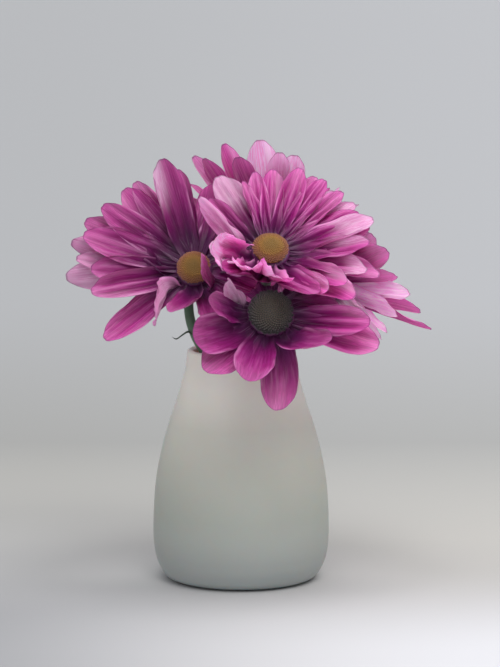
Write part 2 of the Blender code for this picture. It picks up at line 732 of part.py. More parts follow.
def make_bract(name, head, clock, collection):
    """One of the small green scales that clasp the cup behind a head."""
    shape = bmesh.new()
    bmesh.ops.create_cone(
        shape, cap_ends=True, segments=4, radius1=BRACT_BASE, radius2=BRACT_TIP, depth=BRACT_LENGTH,
    )
    bmesh.ops.scale(shape, verts=shape.verts, vec=(1.0, BRACT_FLATNESS, 1.0))
    bmesh.ops.translate(shape, verts=shape.verts, vec=(0.0, 0.0, BRACT_LENGTH / 3))
    lean = Matrix.Rotation(math.radians(BRACT_LEAN), 4, "X")
    out = Matrix.Translation((0.0, *BRACT_SEAT))
    turn = Matrix.Rotation(clock, 4, "Z")
    place = head_matrix(head) @ Matrix.Scale(MM, 4) @ turn @ out @ lean
    bmesh.ops.transform(shape, matrix=place, verts=shape.verts)
    return object_from_bmesh(name, shape, collection)


def make_stem(name, head, collection):
    """A stem with the green cup and bracts that hold its head, fused into one body."""
    line = stem_line(head)
    flare = [STEM_RADIUS * share for share in NECK_FLARE]
    inside_cup = Vector(head["centre"]) + Vector(head["axis"]).normalized() * CUP_PROFILE[2][1]
    radii = [STEM_RADIUS] * (len(line) - len(flare)) + flare + flare[-1:]
    line.append(inside_cup)
    body = make_tube("stem_" + name, line, radii, collection)
    profile = [(0.0, CUP_TOP)] + list(CUP_PROFILE) + [(0.0, CUP_PROFILE[-1][1])]
    cup = applied(turned(name + "_cup", profile, CUP_SEGMENTS, collection, head_matrix(head)), collection)
    clocks = [2 * math.pi * (i + 0.5) / BRACTS for i in range(BRACTS)]
    bracts = [make_bract(f"{name}_bract_{i}", head, clock, collection) for i, clock in enumerate(clocks)]
    leaves = [make_leaflet(name + "_leaflet", line, collection)] if name == LEAFLET_STEM else []
    return combine(body, [cup] + bracts + leaves, "UNION", collection)


def cut_stem_holes(water, collection):
    """Plain holes through the water, a little wider than the stems that stand in them."""
    cutters = []
    for name, head in HEADS.items():
        foot, middle, mouth = stem_line(head)[:3]
        along = (mouth - foot).normalized()
        line = [foot - along * FLOOR_Z, middle, mouth]
        cutters.append(make_tube(name + "_hole", line, [STEM_RADIUS + STEM_HOLE_PLAY] * 3, collection))
    return combine(water, cutters, "DIFFERENCE", collection)


def main():
    clear_scene()
    daisies = make_collection("daisies_in_vase")
    glass = make_material("vase", roughness=0.5)
    clear = make_material("water", roughness=0.05, alpha=0.4)
    pink = make_material("petal", roughness=0.6)
    yellow = make_material("disc", roughness=0.9)
    green = make_material("stem", roughness=0.6)
    finish(make_vase(daisies), glass)
    finish(cut_stem_holes(make_water(daisies), daisies), clear)
    petals = settle_petals()
    for name, head in HEADS.items():
        finish(make_stem(name, head, daisies), green)
        finish(make_rays(name, head, petals[name], daisies), pink, 60.0)
        finish(make_disc(name, head, daisies), yellow, 20.0)


main()
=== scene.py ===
# %% [markdown]
# # Pink daisies in a frosted bottle vase
# Five cut blooms stand in a small frosted vase with water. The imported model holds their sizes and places
# as plain solids. This script keeps those places and gives each part its fine surface: pleated petals,
# packed florets, ribbed stems with bracts, and satin glass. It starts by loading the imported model.

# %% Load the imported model
import math
import random

import bmesh
import bpy
from mathutils import Matrix, Vector, noise
from mathutils.bvhtree import BVHTree


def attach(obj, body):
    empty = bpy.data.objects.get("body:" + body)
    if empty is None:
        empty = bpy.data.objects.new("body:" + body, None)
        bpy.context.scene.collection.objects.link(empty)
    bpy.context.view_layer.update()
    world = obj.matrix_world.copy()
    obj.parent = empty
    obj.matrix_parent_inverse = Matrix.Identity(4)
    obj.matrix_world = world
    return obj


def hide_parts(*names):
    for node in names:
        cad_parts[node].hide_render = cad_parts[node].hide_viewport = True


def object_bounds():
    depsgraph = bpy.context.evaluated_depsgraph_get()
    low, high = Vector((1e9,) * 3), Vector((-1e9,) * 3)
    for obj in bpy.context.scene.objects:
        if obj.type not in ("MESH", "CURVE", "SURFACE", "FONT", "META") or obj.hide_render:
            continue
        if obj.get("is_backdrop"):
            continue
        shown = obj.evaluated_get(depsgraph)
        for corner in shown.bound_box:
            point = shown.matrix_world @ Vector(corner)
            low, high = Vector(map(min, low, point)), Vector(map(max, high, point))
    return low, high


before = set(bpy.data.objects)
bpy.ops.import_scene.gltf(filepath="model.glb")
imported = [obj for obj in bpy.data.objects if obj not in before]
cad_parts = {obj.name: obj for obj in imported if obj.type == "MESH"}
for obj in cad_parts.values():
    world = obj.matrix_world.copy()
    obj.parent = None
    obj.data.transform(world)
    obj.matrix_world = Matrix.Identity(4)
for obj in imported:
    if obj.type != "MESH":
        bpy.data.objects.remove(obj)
cad_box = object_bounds()
MM = 0.001
print("packed nodes:", len(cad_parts))

# %% [markdown]
# ## Camera
# The photograph is taken from a little above, with a long lens, so the vase's sides stay nearly upright.
# The camera stands 1.25 m away and looks down by about 8 degrees. Two small helpers put an object in the
# scene and turn it to what it looks at. The lights use them again.

# %% Camera at the photograph's angle
EYE = Vector((3.4, -1250.0, 266.0)) * MM
AIM = Vector((3.4, 0.0, 93.8)) * MM
SENSOR_WIDTH = 36.0
LENS = 179.1


def into_scene(name, data):
    made = bpy.data.objects.new(name, data)
    bpy.context.scene.collection.objects.link(made)
    return made


def aimed(thing, place, target):
    """Stands a camera or a light at a place and turns it to a target."""
    thing.location = place
    thing.rotation_euler = (target - place).to_track_quat("-Z", "Y").to_euler()


camera = into_scene("camera", bpy.data.cameras.new("camera"))
camera.data.sensor_width = SENSOR_WIDTH
camera.data.lens = LENS
camera.data.clip_end = 100.0
aimed(camera, EYE, AIM)
bpy.context.scene.camera = camera
bpy.context.scene.view_settings.view_transform = "Standard"
print("camera distance in m:", round((AIM - EYE).length, 3))

# %% [markdown]
# ## Small helpers for node trees
# A material is a graph of nodes. These helpers add one node at a time and accept either a number or
# another node's output for each input, so that a long formula stays readable.

# %% Helpers for materials
def srgb(red, green, blue):
    """A colour read from a screen, 0 to 255, as the linear values that a shader uses."""
    linear = [((c / 255 + 0.055) / 1.055) ** 2.4 if c > 10 else c / 255 / 12.92 for c in (red, green, blue)]
    return (*linear, 1.0)


def feed(tree, socket, value):
    if isinstance(value, bpy.types.NodeSocket):
        tree.links.new(value, socket)
    else:
        socket.default_value = value


def add(tree, kind, inputs=None, **settings):
    made = tree.nodes.new(kind)
    for key, value in settings.items():
        setattr(made, key, value)
    for key, value in (inputs or {}).items():
        feed(tree, made.inputs[key], value)
    return made


def calc(tree, operation, *values):
    made = add(tree, "ShaderNodeMath", operation=operation)
    for socket, value in zip(made.inputs, values):
        feed(tree, socket, value)
    return made.outputs[0]


def times(tree, value, *others):
    for other in others:
        value = calc(tree, "MULTIPLY", value, other)
    return value


def ramp_between(tree, value, low, high):
    """0 below low, 1 above high, and smooth between them. It falls instead where low is the larger."""
    made = add(tree, "ShaderNodeMapRange", {"Value": value, "From Min": low, "From Max": high},
               interpolation_type="SMOOTHSTEP")
    return made.outputs["Result"]


def mix(tree, factor, first, second, blend="MIX"):
    made = add(tree, "ShaderNodeMix", data_type="RGBA", blend_type=blend)
    feed(tree, made.inputs[0], factor)
    feed(tree, made.inputs[6], first)
    feed(tree, made.inputs[7], second)
    return made.outputs[2]


def washed(tree, base, colour, mask, amount):
    """The base with a colour laid over it by the amount, where the mask is 1."""
    return mix(tree, times(tree, mask, amount), base, colour)


def colour_ramp(tree, value, stops):
    made = add(tree, "ShaderNodeValToRGB", {"Fac": value})
    elements = made.color_ramp.elements
    for place, colour in stops[1:-1]:
        elements.new(place).color = colour
    elements[0].position, elements[0].color = stops[0]
    elements[-1].position, elements[-1].color = stops[-1]
    return made.outputs["Color"]


def object_place(tree):
    return add(tree, "ShaderNodeTexCoord").outputs["Object"]


def axes_of(tree, vector):
    """A vector's three numbers."""
    return add(tree, "ShaderNodeSeparateXYZ", {"Vector": vector}).outputs[:]


def new_material(name, **constants):
    """A material with one Principled shader, whose even values are set on its own sockets."""
    material = bpy.data.materials.new(name)
    material.use_nodes = True
    tree = material.node_tree
    shader = tree.nodes["Principled BSDF"]
    for key, value in constants.items():
        shader.inputs[key.replace("_", " ")].default_value = value
    return material, tree, shader


print("helpers ready")

# %% [markdown]
# ## A mottle that several finishes share
# Nothing that grows or is cast has one even colour. One node group holds a cloudy variation, built once
# and placed in each material with its own scale and strength. It gives a colour, and a height for a bump.

# %% Shared group: cloudy mottle
MOTTLE_SOCKETS = (
    ("Color", "INPUT", "Color"), ("Scale", "INPUT", "Float"), ("Amount", "INPUT", "Float"),
    ("Color", "OUTPUT", "Color"), ("Height", "OUTPUT", "Float"),
)


def mottle_group():
    group = bpy.data.node_groups.new("cloudy_mottle", "ShaderNodeTree")
    for label, way, kind in MOTTLE_SOCKETS:
        group.interface.new_socket(label, in_out=way, socket_type="NodeSocket" + kind)
    start = group.nodes.new("NodeGroupInput").outputs
    end = group.nodes.new("NodeGroupOutput").inputs
    clouds = add(group, "ShaderNodeTexNoise", {
        "Vector": object_place(group), "Scale": start["Scale"], "Detail": 4.0, "Roughness": 0.6,
    }).outputs["Fac"]
    shade = calc(group, "MULTIPLY_ADD", calc(group, "SUBTRACT", clouds, 0.5), start["Amount"], 1.0)
    tinted = add(group, "ShaderNodeHueSaturation", {"Color": start["Color"], "Value": shade})
    feed(group, end["Color"], tinted.outputs["Color"])
    feed(group, end["Height"], clouds)
    return group


MOTTLE = mottle_group()


def mottled(tree, colour, scale, amount):
    inputs = {"Color": colour, "Scale": scale, "Amount": amount}
    made = add(tree, "ShaderNodeGroup", inputs, node_tree=MOTTLE)
    return made.outputs["Color"], made.outputs["Height"]


def bumped(tree, shader, height, distance, strength):
    bump = add(tree, "ShaderNodeBump", {"Height": height, "Distance": distance, "Strength": strength})
    feed(tree, shader.inputs["Normal"], bump.outputs["Normal"])


print("shared group:", MOTTLE.name)

# %% [markdown]
# ## Handing a finished piece over
# Every piece is made in a bmesh, in millimetres or metres as suits it, and ends as one object at the
# origin. These helpers keep a shape as a mesh, give a finished one its shading and material, and hide the
# solid of the imported model that it stands for.

# %% Helpers that keep and finish a shape
def kept_mesh(name, shape):
    """Turns a finished shape into a mesh that can be copied into others."""
    mesh = bpy.data.meshes.new(name)
    shape.to_mesh(mesh)
    shape.free()
    return mesh


def started_from(mesh):
    shape = bmesh.new()
    shape.from_mesh(mesh)
    return shape


def hand_over(name, shape, material, slot, *nodes, angle=50.0):
    mesh = kept_mesh(name, shape)
    mesh.shade_smooth()
    if angle is not None:
        mesh.set_sharp_from_angle(angle=math.radians(angle))
    mesh.materials.append(material)
    piece = into_scene(name, mesh)
    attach(piece, "root")
    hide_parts(*nodes)
    print(f"{name}: {sum(len(p.vertices) - 2 for p in mesh.polygons)} triangles")
    return piece


print("finishing helpers ready")

# %% Helpers for smooth outlines and turned shapes
def eased(p, q, r, s, x):
    """A smooth curve's value at x, which is 0 at q and 1 at r. p lies before them and s after."""
    return 0.5 * (
        2 * q + (r - p) * x + (2 * p - 5 * q + 4 * r - s) * x * x + (3 * q - p - 3 * r + s) * x ** 3
    )


def smooth_run(points, steps):
    """Points on a smooth curve through the given ones, each a tuple of numbers, with steps between two."""
    ends = [points[0]] + list(points) + [points[-1]]
    run = []
    for four in zip(ends, ends[1:], ends[2:], ends[3:]):
        for i in range(steps):
            run.append(tuple(eased(*numbers, i / steps) for numbers in zip(*four)))
    return run + [tuple(points[-1])]


def spun(profile, steps, unit=MM):
    """A shape turned about +Z from (radius, height) pairs in millimetres, in the unit asked for."""
    shape = bmesh.new()
    points = [shape.verts.new((radius * unit, 0.0, height * unit)) for radius, height in profile]
    edges = [shape.edges.new(pair) for pair in zip(points, points[1:])]
    bmesh.ops.spin(
        shape, geom=points + edges, cent=(0, 0, 0), axis=(0, 0, 1), angle=2 * math.pi, steps=steps,
        use_merge=True,
    )
    bmesh.ops.remove_doubles(shape, verts=shape.verts, dist=0.002 * unit)
    bmesh.ops.recalc_face_normals(shape, faces=shape.faces)
    return shape


print("outline helpers ready")

# %% [markdown]
# ## Floor and light
# The ground is pale and runs into a pale wall. Daylight falls softly from above, and no shadow has a hard
# edge. One very large disc of floor fills the picture from every side. Its tone changes slowly from front
# to back. From side to side it carries painted shade, darker to the left, and painted light makes it
# lighter at the front and in two soft patches near the vase, which cancel the shadows next to and behind
# its foot.

# %% Floor
FLOOR_RADIUS = 14.0
FLOOR_DROP = 0.0004
FAN_POINT = 1.25
FAN_BACK = 0.65
# Centre of a patch of painted light, left of the vase
PAINTED_LIGHT_SPOT = (-0.085, 0.035, 0.0)


def distance_from(tree, place, spot):
    made = add(tree, "ShaderNodeVectorMath", {0: place, 1: spot}, operation="DISTANCE")
    return made.outputs["Value"]


def paper_colour(tree):
    """The floor's tone, with painted light and shade. Its sides differ in a fan that opens from a point in
    front, and again behind.
    """
    place = object_place(tree)
    x, y, _ = axes_of(tree, place)
    paper = colour_ramp(tree, ramp_between(tree, y, -0.1, 0.9), (
        (0.0, srgb(167, 165, 163)), (0.08, srgb(171, 169, 165)), (0.36, srgb(147, 147, 146)),
        (1.0, srgb(157, 158, 161)),
    ))
    away = calc(tree, "MAXIMUM", calc(tree, "ADD", y, FAN_POINT), calc(tree, "SUBTRACT", FAN_BACK, y))
    sideways = calc(tree, "DIVIDE", x, away)
    # Painted shade: the left side of the floor is darker, most of all towards the front.
    left = mix(tree, ramp_between(tree, y, -0.02, 0.25), srgb(207, 210, 216), srgb(241, 241, 240))
    sides = mix(tree, ramp_between(tree, sideways, -0.08, 0.09), left, srgb(255, 255, 255))
    paper = mix(tree, 1.0, paper, sides, "MULTIPLY")
    # Painted light: a lighter patch left of the vase that cancels the shadow there.
    painted_light_beside = ramp_between(tree, distance_from(tree, place, PAINTED_LIGHT_SPOT), 0.11, 0.02)
    paper = washed(tree, paper, srgb(215, 213, 210), painted_light_beside, 0.15)
    # Painted light: a lighter ring round the foot, behind the vase only, that cancels its contact shadow.
    painted_light_round_foot = ramp_between(tree, distance_from(tree, place, (0.0, 0.0, 0.0)), 0.08, 0.026)
    painted_light_behind_foot = times(tree, painted_light_round_foot, ramp_between(tree, y, -0.03, 0.01))
    paper = washed(tree, paper, srgb(240, 239, 237), painted_light_behind_foot, 0.25)
    # Painted light: a lighter band across the front of the floor, strongest towards the right.
    near = times(
        tree, ramp_between(tree, y, 0.02, -0.13), ramp_between(tree, y, -3.0, -0.2),
        ramp_between(tree, sideways, -0.12, 0.1),
    )
    return mix(tree, near, paper, srgb(202, 202, 206))


def make_floor():
    shape = bmesh.new()
    bmesh.ops.create_circle(shape, cap_ends=True, segments=96, radius=FLOOR_RADIUS)
    bmesh.ops.translate(shape, verts=shape.verts, vec=(0.0, 0.0, -FLOOR_DROP))
    material, tree, shader = new_material("pale_floor", Roughness=0.8)
    feed(tree, shader.inputs["Base Color"], paper_colour(tree))
    floor = into_scene("floor", kept_mesh("floor", shape))
    floor.data.materials.append(material)
    floor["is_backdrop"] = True


make_floor()
print("floor radius in m:", FLOOR_RADIUS)

# %% [markdown]
# A broad sun high up, a little to the right and in front, gives the daylight. A second, weaker one lights
# the front, and a bright surrounding fills the shade.

# %% Broad suns and surrounding
LIGHTS = (
    ("daylight", (0.18, -0.28, 0.90), 55.0, 3.0, (1.0, 0.985, 0.965)),
    ("fill", (-0.30, -0.95, 0.40), 90.0, 0.9, (0.95, 0.975, 1.0)),
)
for name, place, spread, power, colour in LIGHTS:
    light = into_scene(name, bpy.data.lights.new(name, "SUN"))
    light.data.angle = math.radians(spread)
    light.data.energy = power
    light.data.color = colour
    aimed(light, Vector(place), Vector())
world = bpy.data.worlds.new("soft_surrounding")
world.use_nodes = True
surrounding = world.node_tree.nodes["Background"].inputs
surrounding["Color"].default_value = srgb(220, 223, 228)
surrounding["Strength"].default_value = 0.75
bpy.context.scene.world = world
print("lights:", len(LIGHTS))

# %% [markdown]
# ## The vase
# A small bottle vase of frosted, nearly opaque glass: wide and soft at the foot, narrow at the neck, with
# a thin round lip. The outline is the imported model's, drawn as a smooth curve through the same few points
# and spun in many steps, because its long highlight shows every facet.

# %% Vase sizes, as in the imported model
VASE_HEIGHT = 88.0
WALL = 2.6
FLOOR_Z = 5.0
FLOOR_CORNER = ((28.6, 8.0), (25.6, FLOOR_Z))
LIP = ((18.3, 87.5), (19.2, VASE_HEIGHT), (20.1, 87.6))
OUTER_WALL = (
    (20.5, 86.6), (21.2, 81.0), (22.6, 75.5), (24.8, 68.0), (28.0, 58.3), (30.8, 47.5),
    (32.8, 35.5), (33.6, 20.5), (33.3, 12.5), (32.2, 7.0), (30.2, 2.8),
)
FOOT = ((28.6, 0.9), (26.6, 0.0))
INNER_WALL = [(r - WALL, z) for r, z in OUTER_WALL if z > FLOOR_CORNER[0][1] + WALL] + list(FLOOR_CORNER)
print("vase height and widest radius in mm:", VASE_HEIGHT, max(r for r, z in OUTER_WALL))

# %% Frosted glass
def glass_material():
    material, tree, shader = new_material(
        "frosted_glass", Roughness=0.5, Subsurface_Weight=0.35, Subsurface_Scale=0.006, Coat_Weight=0.06,
        Coat_Roughness=0.35,
    )
    height = axes_of(tree, object_place(tree))[2]
    # Partly painted light and shade: darker and greyer low down, lighter and warmer towards the top, where
    # more light falls.
    tint_and_painted_light = colour_ramp(tree, calc(tree, "DIVIDE", height, VASE_HEIGHT * MM), (
        (0.0, srgb(164, 169, 168)), (0.12, srgb(152, 156, 152)), (0.3, srgb(157, 160, 152)),
        (0.5, srgb(172, 172, 162)), (0.68, srgb(188, 186, 176)), (0.85, srgb(224, 218, 208)),
        (1.0, srgb(236, 230, 220)),
    ))
    cloudy, _ = mottled(tree, tint_and_painted_light, 55.0, 0.06)
    feed(tree, shader.inputs["Base Color"], cloudy)
    _, grain = mottled(tree, tint_and_painted_light, 2600.0, 0.0)
    bumped(tree, shader, grain, 0.00006, 0.35)
    return material


GLASS = glass_material()
print("finish made:", GLASS.name)

# %% Turn the vase
def make_vase():
    outside = smooth_run(list(LIP[1:]) + list(OUTER_WALL) + list(FOOT), 5)
    inside = smooth_run(list(reversed(INNER_WALL)) + list(LIP[:2]), 5)
    profile = [(0.0, FLOOR_Z)] + inside + outside[1:] + [(0.0, 0.0)]
    return hand_over("vase_glass", spun(profile, 144), GLASS, "vase", "vase")


make_vase()

# %% [markdown]
# ## The water
# Clear water fills the vase to well under its neck. It is spun too, with a small gap to the glass, and its
# surface climbs a little at the wall, as water does.

# %% Water
WATER_LEVEL = 58.0
WATER_GAP = 0.3
MENISCUS = 0.6


def make_water():
    material, _, _ = new_material(
        "clear_water", Base_Color=srgb(226, 236, 232), Roughness=0.02, IOR=1.33, Transmission_Weight=1.0,
    )
    inside = reversed(smooth_run(INNER_WALL, 4))
    wall = [(r - WATER_GAP, z + WATER_GAP) for r, z in inside if z < WATER_LEVEL]
    edge = wall[-1][0]
    flat = WATER_LEVEL - MENISCUS
    top = [(edge, WATER_LEVEL), (edge - 0.8, WATER_LEVEL - MENISCUS * 0.7), (edge - 2.2, flat)]
    profile = [(0.0, FLOOR_Z + WATER_GAP)] + wall[:-1] + top + [(0.0, flat)]
    return hand_over("water_body", spun(profile, 96), material, "water", "water")


make_water()

# %% [markdown]
# ## The heads
# Each bloom is one head: a disc of florets on a receptacle, two rows of ray petals round it, and a green
# cup behind. A head has a place, a direction that it faces and a clock. Clock angles are read facing the
# head, with 0 at the top and 90 at three o'clock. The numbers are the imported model's own, in millimetres,
# so that every fine petal lies in the solid one that it stands for.

# %% Where the heads are
HEADS = {
    "left": {
        "centre": (-17.7, -8.0, 119.6),
        "axis": (-0.08, -0.90, 0.43),
        "disc": 6.3,
        "mouth": (-14.4, -2.0),
        "foot": (9.0, -9.0),
        "bow": (-4.6, 0.0, 0.0),
        "crowd": ((0, 6), (60, -14), (90, -12), (130, 30), (180, 40), (225, 8), (270, 2), (315, 4)),
        "bare": (118, 228),
        "seed": 3,
    },
    "top": {
        "centre": (11.0, -20.0, 127.8),
        "axis": (0.06, -0.72, 0.69),
        "disc": 6.7,
        "mouth": (3.0, -3.4),
        "foot": (-10.0, 19.0),
        "bow": (0.0, 0.0, 0.0),
        "crowd": ((0, -6), (50, -4), (90, 2), (130, 16), (180, 30), (230, 46), (270, 40), (315, 6)),
        "bare": (150, 430),
        "seed": 5,
    },
    "low": {
        "centre": (11.0, -38.0, 106.6),
        "axis": (0.05, -0.93, 0.36),
        "disc": 8.2,
        "mouth": (8.6, -10.6),
        "foot": (13.0, 13.0),
        "bow": (0.0, 0.0, 0.0),
        "crowd": ((0, -30), (45, -30), (90, 6), (150, 20), (200, 16), (250, 20), (295, 30), (330, -24)),
        "bare": (120, 300),
        "seed": 7,
    },
    "right": {
        "centre": (32.4, 9.0, 115.0),
        "axis": (0.72, 0.35, 0.60),
        "disc": 7.0,
        "mouth": (13.4, 1.5),
        "foot": (-2.0, 11.0),
        "bow": (0.0, 0.0, 0.0),
        "crowd": ((0, 30), (90, 10), (180, 10), (250, 10), (290, 30)),
        "bare": (180, 300),
        "seed": 11,
    },
    "back": {
        "centre": (13.1, 28.0, 130.0),
        "axis": (0.02, 0.50, 0.86),
        "disc": 7.0,
        "mouth": (-12.0, 9.5),
        "foot": (-11.0, -16.0),
        "bow": (-8.0, 0.0, 0.0),
        "crowd": ((0, 40), (90, 40), (180, 20), (240, 40), (300, 46)),
        "bare": (280, 430),
        "seed": 13,
    },
}


def head_axes(head):
    """The head's right, up and facing directions. Right is at three o'clock as seen facing it."""
    facing = Vector(head["axis"]).normalized()
    up = (Vector((0, 0, 1)) - facing * facing.z).normalized()
    return up.cross(facing), up, facing


def head_matrix(head):
    """Turns a shape made about +Z, with its twelve o'clock at +Y, to the head. All in millimetres."""
    right, up, facing = head_axes(head)
    matrix = Matrix((right, up, facing)).transposed().to_4x4()
    matrix.translation = Vector(head["centre"])
    return matrix


print("heads:", ", ".join(HEADS))

# %% [markdown]
# ## Which petal lies where
# Petals that the photograph shows clearly are placed one by one, by head and row. The rest of each row
# follows a rule with seeded random draws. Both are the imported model's own. Each petal has its clock
# angle, rise, length, width, bend and twist.

# %% Petals placed one by one
PLACED = {
    "top": {
        "front": (
            (5, 4, 33, 9.5, 0, 0), (354, 4, 32, 7.5, 0, -20), (346, 6, 28, 7.0, 0, 30),
            (20, 6, 35, 9.5, 0, 10), (34, 3, 35, 9.5, 0, 0), (47, 5, 34, 9.5, 0, -10),
            (64, 4, 33, 10.5, 0, 0), (80, 14, 33, 11.0, 0, 0), (97, 24, 33, 11.0, 0, -10),
            (116, 20, 34, 12.0, 0, -15), (134, 28, 33, 11.0, 0, 0), (150, 34, 35, 9.5, 0, 20),
            (170, 32, 35, 13.5, 0, 0), (192, 50, 30, 12.0, 0, -10), (214, 54, 28, 12.5, 0, 10),
            (244, 52, 33, 15.0, 0, -50), (282, 55, 36, 6.5, 0, 150), (304, 36, 26, 8.5, 0, 0),
        ),
        "rear": (
            (336, -2, 37, 13.0, 0, 0), (28, 2, 36, 9.5, 0, 0), (41, -1, 35, 9.5, 0, 0),
            (56, 4, 35, 9.5, 0, 0), (194, 44, 18, 11.0, 0, 0), (226, 44, 26, 11.0, 0, 0),
            (250, 46, 26, 11.0, 0, 0),
        ),
    },
    "left": {
        "front": (
            (342, 22, 39, 13.0, 0, -14), (318, 4, 37, 12.5, 0, 0), (285, 12, 39, 13.0, 0, 8),
            (267, 11, 34, 11.0, 0, -8), (251, 20, 36, 11.5, 0, 6), (229, 2, 38, 12.0, 0, 10),
            (232, 50, 29, 11.0, 0, 130), (176, 60, 34, 10.5, 0, 0), (150, 50, 35, 12.0, 0, 0),
            (130, 97, 33, 8.0, 0, 40), (10, 4, 30, 11.0, 0, 0),
        ),
        "rear": (
            (325, 6, 37, 10.0, 0, 0), (22, 0, 28, 11.0, 0, 0), (303, 14, 38, 12.0, 0, 0),
            (293, 8, 41, 12.0, 0, 0), (281, 8, 43, 11.0, 0, 150), (273, 16, 40, 9.0, 0, 0),
            (266, 16, 44, 13.0, -26, 150),
        ),
    },
    "low": {
        "front": (
            (170, 18, 32, 15.0, 0, 0), (199, 47, 33, 15.0, 0, 0), (225, 36, 34, 15.0, 0, 0),
            (244, 46, 34, 15.5, 0, -10), (109, 10, 35, 14.0, 0, 0), (100, 27, 32, 12.0, 0, 0),
            (150, 64, 32, 13.0, 0, 0), (268, 64, 31, 11.0, 0, 10), (290, 76, 31, 6.5, 0, 150),
        ),
        "rear": (
            (104, -2, 33, 13.0, 0, 0),
        ),
    },
    "back": {
        "front": (
            (9, 46, 38, 14.0, 0, 0), (346, 22, 34, 12.5, 0, 0), (43, 57, 38, 11.5, 0, 0),
            (64, 46, 40, 11.5, 0, 10), (238, 56, 37, 11.0, 0, 0), (195, 70, 36, 11.0, 0, 0),
            (270, 62, 26, 11.0, 0, 0),
        ),
        "rear": (
            (53, 45, 38, 10.5, 0, 0), (244, 40, 37, 11.0, 0, 0), (21, 28, 37, 11.0, 0, 0),
            (356, 34, 36, 11.0, 0, 0),
        ),
    },
    "right": {
        "front": (
            (206, 29, 41, 8.5, 0, 0), (235, 24, 37, 11.0, 0, 0), (254, 21, 37, 12.0, 0, 0),
            (267, 20, 36, 11.0, 0, 20), (280, 27, 36, 11.0, 0, 0), (291, 18, 32, 11.5, 0, 0),
            (331, 60, 28, 11.0, 0, 0), (358, 60, 26, 11.0, 0, 0), (184, 18, 29, 11.0, 0, 0),
        ),
        "rear": (
            (197, 8, 26, 12.0, 0, 0), (297, 30, 31, 11.0, 0, 0), (344, 56, 27, 11.0, 0, 0),
            (248, 9, 35, 13.0, 0, 0), (238, -8, 33, 13.0, 0, 0), (270, -12, 35, 13.5, 0, 0),
        ),
    },
}
PLACED_COUNTS = {name: sum(len(row) for row in rows.values()) for name, rows in PLACED.items()}

# What else is special about some of these petals: a sideways bend, a deeper trough, a curled or a blunt tip
SHAPED = {
    "left": {
        130: {"root": -2.4}, 150: {"sweep": -0.12}, 176: {"cup": 0.7, "sweep": -0.2},
        232: {"cup": 0.7, "sweep": 0.5, "root": -2.9},
    },
    "top": {
        150: {"tip": 3.0}, 170: {"sweep": 0.22}, 192: {"sweep": 0.3, "cup": 0.7},
        244: {"cup": 0.65, "curl": 50.0, "tip": 2.8, "root": -2.5}, 282: {"cup": 0.8},
    },
    "low": {
        150: {"sweep": 0.25, "tip": 3.2}, 170: {"tip": 2.6, "sweep": -0.15}, 244: {"tip": 5.0},
        290: {"root": -2.9},
    },
}


def special(table, name, clock, usual):
    """What a table says about the petal of a head at a clock angle, or the usual value."""
    return table.get(name, {}).get(clock, usual)


print("petals placed by hand:", PLACED_COUNTS)

# %% The rule for the rest of each row
ROWS = {
    "front": {"count": 12, "turn": 0.0, "root": -1.4, "rise": 9.0, "length": 36.0, "width": 11.5},
    "rear": {"count": 12, "turn": 0.5, "root": -2.9, "rise": -4.0, "length": 36.5, "width": 12.0},
}
SPREADS = {
    "clock": (-0.12, 0.12), "rise": (-3, 3), "length": (0.93, 1.04), "width": (0.9, 1.08), "bend": (-16, 4),
    "twist": (-16, 16), "curl": (-22, 14), "cup": (0.25, 0.6), "sweep": (-0.05, 0.05),
}
PLACED_CUP = 0.45
NEAR = 0.62
ROOT_INSET = 0.8


def crowd_rise(head, clock):
    """How far the petals at this clock angle are pushed up, between the head's given angles."""
    marks = sorted(head["crowd"])
    marks = [(marks[-1][0] - 360, marks[-1][1])] + marks + [(marks[0][0] + 360, marks[0][1])]
    clock %= 360
    for (low, first), (high, second) in zip(marks, marks[1:]):
        if low <= clock <= high:
            share = (clock - low) / (high - low)
            return first + (second - first) * (0.5 - 0.5 * math.cos(math.pi * share))
    return 0.0


def wanted_petals(name, head):
    """The petals of a head before they are bent clear: those placed one by one, then the rest of each row.
    """
    draw = random.Random(head["seed"])
    petals = []
    for row, entries in PLACED[name].items():
        for clock, rise, length, width, bend, twist in entries:
            petal = {
                "row": row, "clock": clock, "rise": rise, "length": length, "width": width, "bend": bend,
                "twist": twist, "curl": 0.0, "cup": PLACED_CUP, "sweep": 0.0, "tip": TIP_POWER,
                "root": ROWS[row]["root"], "start": head["disc"] - ROOT_INSET,
            }
            petals.append(petal | special(SHAPED, name, clock, {}))
    placed = list(petals)
    for row, rule in ROWS.items():
        step = 360 / rule["count"]
        taken = [p["clock"] for p in placed if p["row"] == row]
        for i in range(rule["count"]):
            drawn = {key: draw.uniform(low, high) for key, (low, high) in SPREADS.items()}
            clock = step * (i + rule["turn"] + drawn["clock"])
            petal = dict(
                drawn, row=row, clock=clock, root=rule["root"], start=head["disc"] - ROOT_INSET,
                tip=TIP_POWER,
                rise=rule["rise"] + crowd_rise(head, clock) + drawn["rise"],
                length=rule["length"] * drawn["length"],
                width=rule["width"] * drawn["width"],
            )
            near = any(abs((other - clock + 180) % 360 - 180) < step * NEAR for other in taken)
            bare = (clock - head["bare"][0]) % 360 < head["bare"][1] - head["bare"][0]
            if not (near or bare):
                petals.append(petal)
    return petals


print("petals of a full row:", {row: rule["count"] for row, rule in ROWS.items()})

# %% [markdown]
# ## The form of one petal
# A ray petal leaves the disc level, turns to its rise, and may bend, curl at the tip and twist about
# itself. It is narrow at its claw and widest past the middle, and its sides rise a little, like a shallow
# trough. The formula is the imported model's. The fine petal below adds pleats and a wavy rim on top of it.

# %% A petal's middle line, outline and surface
BEND_LENGTH = 6.0
TWIST_END = 0.4
TIP_START = 0.6
CLAW = 0.5
WIDEST = 0.58
TIP_POWER = 2.1
TIP_ROUND = 0.58
PETAL_STEPS = 14


